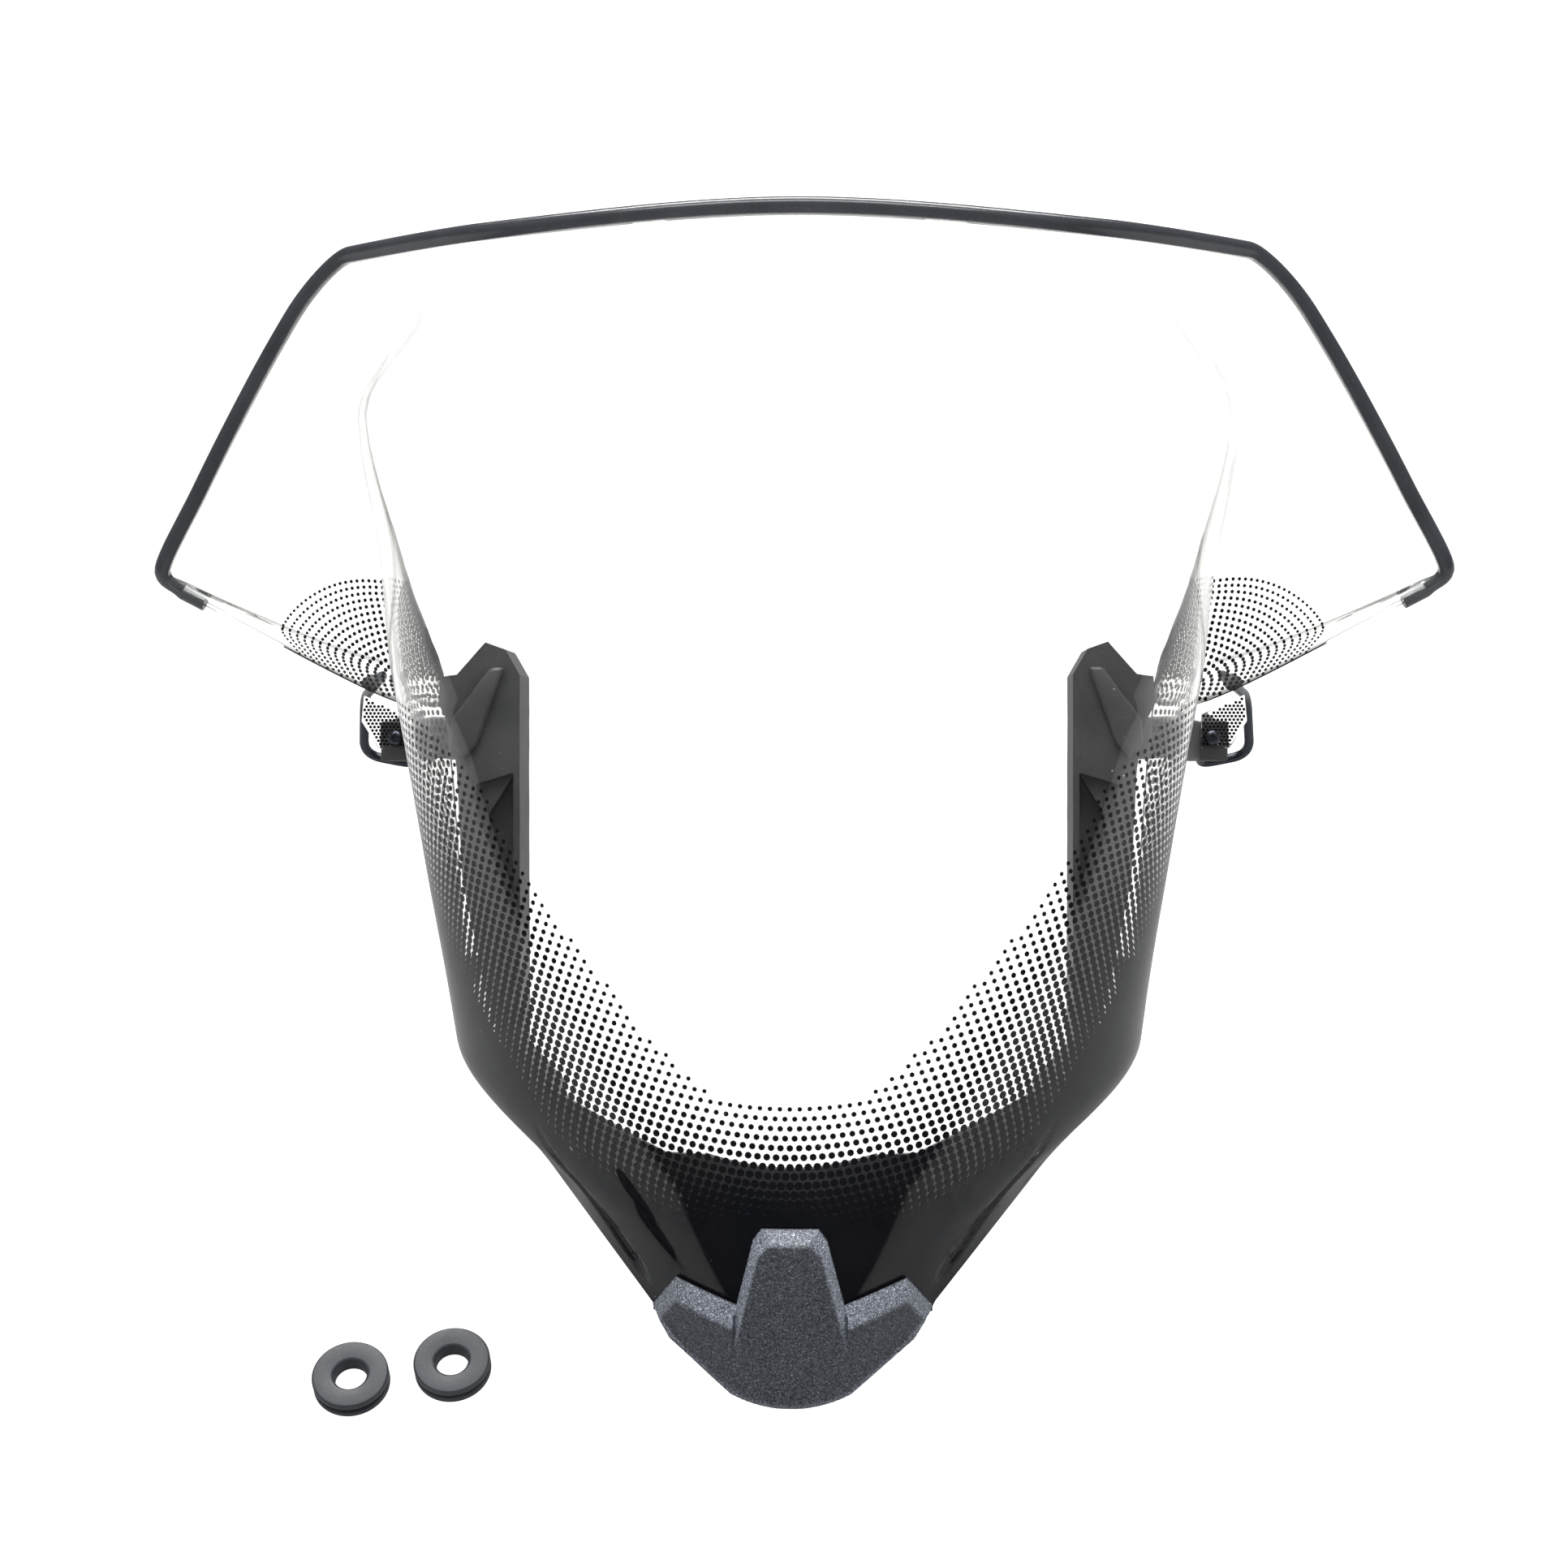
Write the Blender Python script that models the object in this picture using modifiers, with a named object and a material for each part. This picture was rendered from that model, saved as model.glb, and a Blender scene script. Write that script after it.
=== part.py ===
"""Wrap-around windshield screen: a clear sheet with flared wings on a black support yoke.

Metres, +Z up, the front of the screen faces -Y. The origin is on the ground under the middle
of the whole assembly. Nearly all of it is laid out on the face plane, which leans back from
the nose by LEAN. A place there is (x, up the face, depth behind the face), and the face_plane
empty holds it. An outline or a wire is given by its few corners, and rules make the rest.
"""

import math

import bmesh
import bpy
from mathutils import Matrix, Vector

LEAN = math.radians(45)
# How far the face plane's own origin is above the ground, on which the nose and stays rest.
LIFT = 0.0045
# How far the nose is ahead of the origin.
NOSE_AHEAD = 0.267
# The clearance between two pieces that rest on each other.
GAP = 0.0003
SHEET_T = 0.003
# The edge trim's bulb, its clearance to the sheet, and how far its tail runs under the wing,
# as a share of the first step of the wing's lower edge.
TRIM_R = 0.005
TRIM_GAP = 0.0011
TAIL_SHARE = 0.35
# Steps round a turned piece, and the radii of a screw's shank and of the holes for it.
SCREW_STEPS = 12
SHANK_R = 0.0024
HOLE_R = 0.0028
SHEET_HOLE_R = 0.0032

# Levels of the screen from its bottom edge to its top edge, in metres and degrees.
# centre: (up, depth) on the middle line.  side: (x, up, depth) on the side line, which is
# the rear edge below the wings and the inside of the flare above.  turn: heading of the
# section there, 0 outwards, 90 straight back.  pull: lengths of the section's handles at
# the middle and before the side line, and how far it rises along the second handle.
LEVELS = [
    dict(centre=(0.009, 0.004), side=(0.071, 0.044, 0.040), turn=42, pull=(0.024, 0.030, 0.024)),
    dict(centre=(0.056, -0.004), side=(0.1335, 0.111, 0.102), turn=66, pull=(0.055, 0.055, 0.010)),
    dict(centre=(0.105, -0.010), side=(0.195, 0.178, 0.165), turn=90, pull=(0.085, 0.085, 0)),
    dict(centre=(0.225, -0.018), side=(0.199, 0.280, 0.167), turn=108, pull=(0.120, 0.120, 0)),
    dict(centre=(0.330, -0.020), side=(0.208, 0.383, 0.170), turn=117, pull=(0.150, 0.125, 0)),
    dict(centre=(0.352, -0.020), side=(0.2155, 0.405, 0.168), turn=112, pull=(0.150, 0.125, 0)),
    dict(centre=(0.430, -0.015), side=(0.2315, 0.450, 0.160), turn=98, pull=(0.150, 0.120, 0)),
    dict(centre=(0.528, -0.004), side=(0.245, 0.524, 0.120), turn=85, pull=(0.120, 0.090, 0)),
    dict(centre=(0.622, 0.012), side=(0.170, 0.6185, 0.062), turn=30, pull=(0.060, 0.055, 0)),
]
ROOT_LEVEL = 4
TOP_LEVEL = len(LEVELS) - 1
# The lowest level that a normal is worked out at: the nose cap reaches a little below level 0.
LOWEST_LEVEL = -0.3
# The wing's outer edge at the levels from the root up: its place, the heading of the
# section there, the handles after the side line and before the outer edge, and how far the
# section drops behind the side line. The first is the lip under the wing, the second the
# crease above it.
WING = [
    dict(edge=(0.3665, 0.4345, 0.212), heading=(0.89, 0.45, -0.02), pull=(0.025, 0.100, 0.045)),
    dict(edge=(0.3768, 0.4462, 0.204), heading=(0.91, 0.40, 0.00), pull=(0.022, 0.090, 0.036)),
    dict(edge=(0.3500, 0.4945, 0.188), heading=(1.0, 0.30, 0.10), pull=(0.020, 0.060, 0.004)),
    dict(edge=(0.3090, 0.5615, 0.165), heading=(1.0, 0.10, 0.35), pull=(0.022, 0.030, 0)),
    dict(edge=(0.2680, 0.6190, 0.140), heading=(0.8, -0.02, 0.60), pull=(0.030, 0.040, 0)),
]
# Rows between two levels, and the columns of the body and of the wing.
ROWS = [3, 3, 4, 3, 1, 3, 4, 5]
BODY_COLUMNS = 10
WING_COLUMNS = 7
# The rounded top corner: how much of the wing it takes, and the level where it starts.
CORNER_CUT = 0.16
CORNER_LEVEL = 7.45

# The bridge's distance behind the sheet and its wall, and the depths of the arms' two faces.
BRIDGE_SETBACK = 0.010
BRIDGE_T = 0.004
ARM_FRONT = 0.103
ARM_BACK = 0.146
# The stay brackets' lower and upper side, up the face.
BRACKET_UP = (0.336, 0.360)
WIRE_R = 0.003

# Each finish: colour, roughness and metallic.
COLOURS = {
    "clear": ((0.85, 0.88, 0.88, 1), 0.05, 0.0),
    "trim_rubber": ((0.045, 0.047, 0.052, 1), 0.40, 0.0),
    "cap_plastic": ((0.070, 0.074, 0.085, 1), 0.50, 0.0),
    "frame_plastic": ((0.030, 0.029, 0.028, 1), 0.55, 0.0),
    "wire_steel": ((0.080, 0.085, 0.095, 1), 0.30, 0.9),
    "soft_rubber": ((0.060, 0.065, 0.075, 1), 0.60, 0.0),
    "zinc_steel": ((0.350, 0.350, 0.360, 1), 0.35, 1.0),
}


def clear_scene():
    for obj in list(bpy.data.objects):
        bpy.data.objects.remove(obj, do_unlink=True)


def collection(name):
    made = bpy.data.collections.new(name)
    bpy.context.scene.collection.children.link(made)
    return made


def material(node, colour_name):
    """A plain material of the node's own, in one of the object's finishes."""
    colour, roughness, metallic = COLOURS[colour_name]
    made = bpy.data.materials.new(node)
    made.use_nodes = True
    shader = made.node_tree.nodes["Principled BSDF"]
    shader.inputs["Base Color"].default_value = colour
    shader.inputs["Roughness"].default_value = roughness
    shader.inputs["Metallic"].default_value = metallic
    return made


clear_scene()
PARTS = collection("windshield_screen_assembly")
CUTTERS = collection("cutters")
FACE_PLANE = bpy.data.objects.new("face_plane", None)
FACE_PLANE.rotation_euler = (math.pi / 2 - LEAN, 0, 0)
FACE_PLANE.location = (0, -NOSE_AHEAD, LIFT)
PARTS.objects.link(FACE_PLANE)


def at(x, up, depth):
    """A place on the face plane, in the face_plane empty's own coordinates."""
    return Vector((x, up, -depth))


def add_part(name, mesh, colour_name, parent=FACE_PLANE):
    obj = bpy.data.objects.new(name, mesh)
    obj.data.materials.append(material(name, colour_name))
    obj.parent = parent
    PARTS.objects.link(obj)
    return obj


def add_cutter(name, mesh):
    obj = bpy.data.objects.new(name, mesh)
    obj.parent = FACE_PLANE
    obj.hide_render = True
    obj.display_type = "WIRE"
    CUTTERS.objects.link(obj)
    return obj


def boolean(obj, cutter, operation="DIFFERENCE"):
    modifier = obj.modifiers.new(operation.lower(), "BOOLEAN")
    modifier.operation = operation
    modifier.object = cutter


def mesh_of(form, name):
    mesh = bpy.data.meshes.new(name)
    form.to_mesh(mesh)
    form.free()
    return mesh


# The screen's surface


def slope(before, after):
    """The slope at a level that keeps a curve from swinging past its levels."""
    return 2 * before * after / (before + after) if before * after > 0 else 0.0


def through(values, t):
    """A smooth curve through rows of numbers, one row at each whole t."""
    i = min(max(int(t), 0), len(values) - 2)
    f = t - i
    found = []
    for column in zip(*values):
        step = [b - a for a, b in zip(column, column[1:])]
        start = slope(step[i - 1], step[i]) if i > 0 else step[i]
        end = slope(step[i], step[i + 1]) if i + 1 < len(step) else step[i]
        found.append(
            column[i] * (2 * f**3 - 3 * f**2 + 1)
            + column[i + 1] * (3 * f**2 - 2 * f**3)
            + start * (f**3 - 2 * f**2 + f)
            + end * (f**3 - f**2)
        )
    return Vector(found)


def bezier(p, q, r, s, t):
    u = 1 - t
    return p * u**3 + q * (3 * u * u * t) + r * (3 * u * t * t) + s * t**3


def level_value(name, t):
    return through([level[name] for level in LEVELS], t)


def side_line(t):
    """The side line's place at level t, and the heading of the section across it."""
    turn = math.radians(through([(level["turn"], 0.0) for level in LEVELS], t)[0])
    return level_value("side", t), Vector((math.cos(turn), 0, math.sin(turn)))


def body_place(t, s):
    """(x, up, depth) on the body: level t, and s from the middle (0) to the side line (1)."""
    up, depth = level_value("centre", t)
    middle = Vector((0, up, depth))
    side, heading = side_line(t)
    middle_pull, side_pull, rise = level_value("pull", t)
    before = side - heading * side_pull - Vector((0, rise, 0))
    return bezier(middle, middle + Vector((middle_pull, 0, 0)), before, side, s)


def wing_place(t, s):
    """(x, up, depth) on the wing: level t from the root up, s from the side line to the edge."""
    w = t - ROOT_LEVEL
    side, heading = side_line(t)
    edge = through([station["edge"] for station in WING], w)
    arrive = through([station["heading"] for station in WING], w).normalized()
    root_pull, edge_pull, drop = through([station["pull"] for station in WING], w)
    after = side + heading * root_pull - Vector((0, drop, 0))
    return bezier(side, after, edge - arrive * edge_pull, edge, s)


def sheet_place(t, c):
    """(x, up, depth) on the outer face: c is 0 at the middle, 1 at the side line, 2 at the edge."""
    return body_place(t, c) if c <= 1 else wing_place(t, c - 1)


def sheet_normal(t, c):
    """The outer face's normal, as (x, up, depth)."""
    step = 0.004
    low_t = max(t - step, LOWEST_LEVEL)
    high_t = min(t + step, TOP_LEVEL)
    low_c = max(c - step, 0)
    high_c = min(c + step, 2)
    if low_c < 1 < high_c:
        low_c = 1 if t >= ROOT_LEVEL else low_c
        high_c = high_c if t >= ROOT_LEVEL else 1
    upward = sheet_place(high_t, c) - sheet_place(low_t, c)
    across = sheet_place(t, high_c) - sheet_place(t, low_c)
    return upward.cross(across).normalized()


def corner_scale(t):
    """How much of the wing's width is left at level t, below 1 in the rounded top corner."""
    if t <= CORNER_LEVEL:
        return 1.0
    reach = (t - CORNER_LEVEL) / (TOP_LEVEL - CORNER_LEVEL)
    return 1 - CORNER_CUT * (1 - math.sqrt(max(0.0, 1 - reach * reach)))


def row_levels(start=0):
    """The level of each row from start up, closer together towards the rounded top corner."""
    rows = []
    for level, count in enumerate(ROWS):
        for k in range(count):
            f = k / count
            if level == TOP_LEVEL - 1:
                f = math.sin(f * math.pi / 2)
            rows.append(level + f)
    rows.append(float(TOP_LEVEL))
    return [t for t in rows if t >= start]


def columns_at(t):
    """The column values of a row: the body's, then from the root up the wing's."""
    body = [k / BODY_COLUMNS for k in range(BODY_COLUMNS + 1)]
    if t < ROOT_LEVEL:
        return body
    scale = corner_scale(t)
    return body + [1 + scale * k / WING_COLUMNS for k in range(1, WING_COLUMNS + 1)]


def sheet_half():
    """The right half of the outer face, as an open mesh that meets the middle plane."""
    form = bmesh.new()
    rows = []
    for t in row_levels():
        rows.append([form.verts.new(at(*sheet_place(t, c))) for c in columns_at(t)])
    for below, above in zip(rows, rows[1:]):
        for k in range(min(len(below), len(above)) - 1):
            form.faces.new((below[k], below[k + 1], above[k + 1], above[k]))
    for row in rows:
        row[0].co.x = 0
    return mesh_of(form, "windshield_screen")


def mirrored(obj):
    modifier = obj.modifiers.new("halves", "MIRROR")
    modifier.merge_threshold = 0.00005
    modifier.use_clip = True


def thickened(obj, thickness, offset=-1.0):
    modifier = obj.modifiers.new("wall", "SOLIDIFY")
    modifier.thickness = thickness
    modifier.offset = offset
    modifier.use_even_offset = True


# Shapes that several pieces share


def prism(name, outline, low, high):
    """A closed mesh: an outline of (x, up) points drawn through the depths low to high."""
    curve = bpy.data.curves.new(name, "CURVE")
    curve.dimensions = "2D"
    curve.fill_mode = "BOTH"
    curve.extrude = (high - low) / 2
    spline = curve.splines.new("POLY")
    spline.points.add(len(outline) - 1)
    for point, (x, up) in zip(spline.points, outline):
        point.co = (x, up, 0, 1)
    spline.use_cyclic_u = True
    drawn = bpy.data.objects.new(name, curve)
    bpy.context.scene.collection.objects.link(drawn)
    bpy.context.view_layer.update()
    graph = bpy.context.evaluated_depsgraph_get()
    mesh = bpy.data.meshes.new_from_object(drawn.evaluated_get(graph))
    bpy.data.objects.remove(drawn)
    form = bmesh.new()
    form.from_mesh(mesh)
    bmesh.ops.remove_doubles(form, verts=form.verts, dist=0.00001)
    bmesh.ops.translate(form, verts=form.verts, vec=(0, 0, -(low + high) / 2))
    bmesh.ops.recalc_face_normals(form, faces=form.faces)
    form.to_mesh(mesh)
    form.free()
    mesh.name = name
    return mesh


def mirror_outline(outline, side):
    return [(x * side, up) for x, up in outline]


def turned(name, profile, colour_name, place, axis, steps=SCREW_STEPS, parent=FACE_PLANE):
    """A turned piece: (radius, height) down its outer side, standing at place along axis."""
    form = bmesh.new()
    points = [form.verts.new((radius, 0, height)) for radius, height in profile]
    closed = profile[0][0] > 0
    for a, b in zip(points, points[1:] + (points[:1] if closed else [])):
        form.edges.new((a, b))
    obj = add_part(name, mesh_of(form, name), colour_name, parent)
    spin = obj.modifiers.new("turn", "SCREW")
    spin.steps = steps
    spin.render_steps = steps
    spin.use_merge_vertices = True
    spin.merge_threshold = 0.00001
    obj.location = place
    obj.rotation_euler = Vector(axis).to_track_quat("Z", "Y").to_euler()
    return obj


def bolt(name, place, axis, length, head=0.0055):
    """A pan-head screw: place is under its head, axis points from the tip to the head."""
    profile = [
        (0, 0.0032), (head * 0.6, 0.0030), (head * 0.95, 0.0016), (head, 0),
        (SHANK_R, 0), (SHANK_R, -length + 0.001), (SHANK_R * 0.5, -length), (0, -length),
    ]
    return turned(name, profile, "zinc_steel", place, axis)


def bore(name, place, axis, radius, length):
    """A cutter for a round hole, centred on place."""
    form = bmesh.new()
    bmesh.ops.create_cone(
        form, cap_ends=True, segments=SCREW_STEPS, radius1=radius, radius2=radius, depth=length
    )
    turn = Vector(axis).to_track_quat("Z", "Y").to_matrix().to_4x4()
    bmesh.ops.transform(form, verts=form.verts, matrix=Matrix.Translation(place) @ turn)
    return add_cutter(name, mesh_of(form, name))


def bevelled(obj, width):
    modifier = obj.modifiers.new("edges", "BEVEL")
    modifier.width = width
    modifier.segments = 1
    modifier.limit_method = "ANGLE"
    modifier.angle_limit = math.radians(35)


# The pieces

SIDES = [("left", -1), ("right", 1)]
# The two ways through the face plane, out of its back and out of its front.
ALONG_DEPTH = (0, 0, 1)
FROM_BEHIND = (0, 0, -1)
# The two screws through the nose, and the rubber bushes round them.
NOSE_SCREWS = [("left", -0.020), ("right", 0.020)]
NOSE_SCREW_UP = 0.036
NOSE_SCREW_L = 0.027
BUSH_L = 0.010
BUSH_R = 0.0065


def build_screen():
    """The clear sheet with its two screw holes behind the nose cap."""
    screen = add_part("windshield_screen", sheet_half(), "clear")
    mirrored(screen)
    thickened(screen, SHEET_T)
    for side, x in NOSE_SCREWS:
        place = at(x, NOSE_SCREW_UP, 0)
        boolean(screen, bore(f"nose_hole_{side}", place, ALONG_DEPTH, SHEET_HOLE_R, 0.05))
    return screen


def trim_path():
    """The sheet's edge from the middle of the top to under the right wing tip, as (t, c)."""
    top = [(float(TOP_LEVEL), c) for c in columns_at(TOP_LEVEL)]
    rows = row_levels(ROOT_LEVEL)[-2::-1]
    down = [(t, 1 + corner_scale(t)) for t in rows]
    under = (float(ROOT_LEVEL), 2 - 1 / WING_COLUMNS)
    return top + down + [under]


def trim_profile():
    """The bulb's section as (inwards along the sheet, out of its face), with its slot."""
    slot = SHEET_T / 2 + TRIM_GAP
    mouth = math.asin(slot / TRIM_R)
    arc = [mouth + (2 * math.pi - 2 * mouth) * k / 10 for k in range(11)]
    section = [(TRIM_R * math.cos(a), TRIM_R * math.sin(a)) for a in arc]
    return section + [(-TRIM_GAP, -slot), (-TRIM_GAP, slot)]


def build_trim():
    """The rubber bulb that grips the sheet's edge, swept with its slot facing the sheet."""
    form = bmesh.new()
    path = trim_path()
    middles = []
    normals = []
    for t, c in path:
        normal = at(*sheet_normal(t, c))
        middles.append(at(*sheet_place(t, c)) - normal * (SHEET_T / 2))
        normals.append(normal)
    middles[-1] = middles[-2].lerp(middles[-1], TAIL_SHARE)
    normals[-1] = normals[-2].lerp(normals[-1], TAIL_SHARE)
    rings = []
    for k, (middle, normal) in enumerate(zip(middles, normals)):
        ahead = middles[min(k + 1, len(path) - 1)] - middles[max(k - 1, 0)]
        if k == 0:
            ahead = Vector((1, 0, 0))
            normal.x = 0
            normal.normalize()
        inward = ahead.cross(normal).normalized()
        taper = 0.7 if k == len(path) - 1 else 1.0
        ring = []
        for along, out in trim_profile():
            grip = 1.0 if abs(out) <= SHEET_T / 2 + 2 * TRIM_GAP else taper
            ring.append(form.verts.new(middle + inward * along * grip + normal * out * grip))
        rings.append(ring)
    for a, b in zip(rings, rings[1:]):
        for i in range(len(a)):
            j = (i + 1) % len(a)
            form.faces.new((a[i], a[j], b[j], b[i]))
    form.faces.new(rings[-1])
    for corner in rings[0]:
        corner.co.x = 0
    bmesh.ops.recalc_face_normals(form, faces=form.faces)
    trim = add_part("edge_trim", mesh_of(form, "edge_trim"), "trim_rubber")
    mirrored(trim)
    return trim


def offset_half(name, levels, columns, setback):
    """The right half of a skin that runs beside the sheet's outer face, setback behind it."""
    form = bmesh.new()
    rows = []
    for t in levels:
        row = []
        for c in columns:
            point = at(*sheet_place(t, c)) - at(*sheet_normal(t, c)) * setback
            if c == 0:
                point.x = 0
            row.append(form.verts.new(point))
        rows.append(row)
    for below, above in zip(rows, rows[1:]):
        for k in range(len(below) - 1):
            form.faces.new((below[k], below[k + 1], above[k + 1], above[k]))
    return mesh_of(form, name)


CAP_T = 0.009
CAP_GAP = 0.0012
CAP_LOWEST = -0.2
# The cap's outline on its right half, from the top of the tongue to the bottom edge.
CAP_OUTLINE = [
    (0.0146, 0.095), (0.0190, 0.089), (0.0280, 0.0565), (0.0600, 0.0640), (0.0740, 0.0470),
    (0.0640, 0.0330), (0.0310, 0.0060), (0.0150, 0.0020),
]


def build_nose_cap():
    """The three-pointed cap: the nose's own surface drawn forward, cut to its outline."""
    levels = [CAP_LOWEST] + [k / ROWS[0] for k in range(2 * ROWS[0] + 1)]
    columns = [k / BODY_COLUMNS for k in range(BODY_COLUMNS + 1)]
    skin = offset_half("nose_cap", levels, columns, 0)
    form = bmesh.new()
    form.from_mesh(skin)
    bmesh.ops.translate(form, verts=form.verts, vec=(0, 0, CAP_GAP))
    drawn = bmesh.ops.extrude_face_region(form, geom=form.faces[:], use_keep_orig=True)
    front = [item for item in drawn["geom"] if isinstance(item, bmesh.types.BMVert)]
    bmesh.ops.translate(form, verts=front, vec=(0, 0, CAP_T))
    middle = [face for face in form.faces if all(v.co.x < 0.000001 for v in face.verts)]
    bmesh.ops.delete(form, geom=middle, context="FACES_ONLY")
    bmesh.ops.recalc_face_normals(form, faces=form.faces)
    form.to_mesh(skin)
    form.free()
    cap = add_part("nose_cap", skin, "cap_plastic")
    mirrored(cap)
    outline = CAP_OUTLINE + [(-x, up) for x, up in CAP_OUTLINE[::-1]]
    cutter = add_cutter("cap_outline", prism("cap_outline", outline, -0.06, 0.12))
    boolean(cap, cutter, "INTERSECT")
    for side, x in NOSE_SCREWS:
        boolean(cap, bore(f"cap_pilot_{side}", at(x, NOSE_SCREW_UP, 0), ALONG_DEPTH, HOLE_R, 0.014))
    return cap


CLIP_FRONT = 0.024
CLIP_PLATE_T = 0.005
CLIP_OUTLINE = [
    (-0.036, 0.026), (0.036, 0.026), (0.036, 0.046), (0.026, 0.058), (-0.026, 0.058),
    (-0.036, 0.046),
]


def build_nose_clip():
    """The plate inside the nose, with a rubber bush and a screw on each side of its middle."""
    back = CLIP_FRONT + CLIP_PLATE_T
    clip = add_part("nose_clip", prism("nose_clip", CLIP_OUTLINE, CLIP_FRONT, back), "frame_plastic")
    for side, x in NOSE_SCREWS:
        place = at(x, NOSE_SCREW_UP, CLIP_FRONT)
        boolean(clip, bore(f"clip_hole_{side}", place, ALONG_DEPTH, HOLE_R, 0.03))
        sleeve = [(BUSH_R, BUSH_L), (BUSH_R, 0), (HOLE_R, 0), (HOLE_R, BUSH_L)]
        place = at(x, NOSE_SCREW_UP, CLIP_FRONT - GAP)
        turned(f"nose_bush_{side}", sleeve, "soft_rubber", place, ALONG_DEPTH)
        place = at(x, NOSE_SCREW_UP, back + GAP)
        bolt(f"nose_screw_{side}", place, FROM_BEHIND, NOSE_SCREW_L)


# The bridge's top edge on its right half, with the raised tab in its middle.
BRIDGE_TOP = [(0.0405, 0.1345), (0.0445, 0.1305), (0.065, 0.1305), (0.148, 0.168)]
BRIDGE_LOWER = [(0.152, 0.120), (0.110, 0.074), (0.050, 0.062)]
# The room that the bridge takes from the arms' feet, from this far ahead of the sheet.
ROOM_AHEAD = 0.020
# The screw that holds an arm to the bridge, and the back and top of the arm's thin foot.
ARM_SCREW = (0.136, 0.138)
ARM_SCREW_L = 0.040
FOOT_BACK = 0.126
FOOT_TOP = 0.154


def build_bridge():
    """The cross panel of the yoke, which follows the sheet from inside."""
    levels = [0.7 + 0.15 * k for k in range(11)]
    columns = [0.088 * k for k in range(11)]
    skin = offset_half("frame_bridge", levels, columns, SHEET_T + BRIDGE_SETBACK)
    bridge = add_part("frame_bridge", skin, "frame_plastic")
    mirrored(bridge)
    thickened(bridge, BRIDGE_T)
    right = BRIDGE_TOP + BRIDGE_LOWER
    outline = right + [(-x, up) for x, up in right[::-1]]
    cutter = add_cutter("bridge_outline", prism("bridge_outline", outline, -0.05, 0.20))
    boolean(bridge, cutter, "INTERSECT")
    skin = offset_half("bridge_room", levels, columns + [0.968], -ROOM_AHEAD)
    room = add_cutter("bridge_room", skin)
    mirrored(room)
    thickened(room, ROOM_AHEAD + SHEET_T + BRIDGE_SETBACK + BRIDGE_T + 2 * GAP)
    for side, sign in SIDES:
        x, up = ARM_SCREW
        place = at(sign * x, up, ARM_FRONT)
        boolean(bridge, bore(f"bridge_hole_{side}", place, ALONG_DEPTH, HOLE_R, 0.1))
    return bridge


ARM_OUTLINE = [
    (0.118, 0.1232), (0.1378, 0.1232), (0.160, 0.172), (0.172, 0.212), (0.184, 0.270),
    (0.187, 0.330), (0.190, 0.352), (0.197, 0.366), (0.196, 0.381), (0.187, 0.382),
    (0.171, 0.400), (0.160, 0.396), (0.152, 0.382), (0.152, 0.176), (0.130, 0.152),
]
POCKET_OUTLINE = [(0.1555, 0.328), (0.176, 0.322), (0.176, 0.300), (0.163, 0.282), (0.1555, 0.250)]
POCKET_DEPTH = 0.016
BLADE_OUTLINE = [
    (0.160, 0.386), (0.168, 0.386), (0.189, 0.358), (0.190, 0.344), (0.183, 0.335), (0.175, 0.344),
]
BLADE_T = 0.005
BLADE_EDGE = 0.0015
# The part of an arm that is thinned from behind into its foot.
FOOT_OUTLINE = [(0.10, 0.10), (0.18, 0.10), (0.18, FOOT_TOP), (0.10, FOOT_TOP)]
BRACKET_SCREW = (0.170, 0.348)
BRACKET_SCREW_L = 0.026


def build_arm(side, sign):
    """One arm of the yoke, its raised blade and its screw."""
    name = f"frame_arm_{side}"
    outline = mirror_outline(ARM_OUTLINE, sign)
    arm = add_part(name, prism(name, outline, ARM_FRONT, ARM_BACK), "frame_plastic")
    pocket = mirror_outline(POCKET_OUTLINE, sign)
    cutter = prism(f"arm_pocket_{side}", pocket, ARM_FRONT - 0.02, ARM_FRONT + POCKET_DEPTH)
    boolean(arm, add_cutter(f"arm_pocket_{side}", cutter))
    foot_room = mirror_outline(FOOT_OUTLINE, sign)
    cutter = prism(f"foot_room_{side}", foot_room, FOOT_BACK, FOOT_BACK + 0.1)
    boolean(arm, add_cutter(f"foot_room_{side}", cutter))
    boolean(arm, bpy.data.objects["bridge_room"])
    x, up = ARM_SCREW
    place = at(sign * x, up, ARM_FRONT)
    boolean(arm, bore(f"arm_hole_{side}", place, ALONG_DEPTH, HOLE_R, 0.2))
    bolt(f"arm_screw_{side}", at(sign * x, up, FOOT_BACK + GAP), FROM_BEHIND, ARM_SCREW_L)
    x, up = BRACKET_SCREW
    place = at(sign * x, up, ARM_BACK)
    boolean(arm, bore(f"arm_thread_{side}", place, ALONG_DEPTH, HOLE_R, 0.03))
    blade = mirror_outline(BLADE_OUTLINE, sign)
    front = ARM_FRONT - GAP - BLADE_T
    mesh = prism(f"arm_blade_{side}", blade, front, ARM_FRONT - GAP)
    bevelled(add_part(f"arm_blade_{side}", mesh, "frame_plastic"), BLADE_EDGE)


# The stay bracket from its side, as (x, depth). It is as wide as BRACKET_UP.
BRACKET_OUTLINE = [
    (0.156, 0.1463), (0.186, 0.1463), (0.193, 0.176), (0.218, 0.182), (0.238, 0.245),
    (0.238, 0.2645), (0.2575, 0.2645), (0.2575, 0.312), (0.238, 0.312), (0.198, 0.212),
    (0.177, 0.163), (0.156, 0.163),
]
BRACKET_SEAT = 0.163


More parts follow.
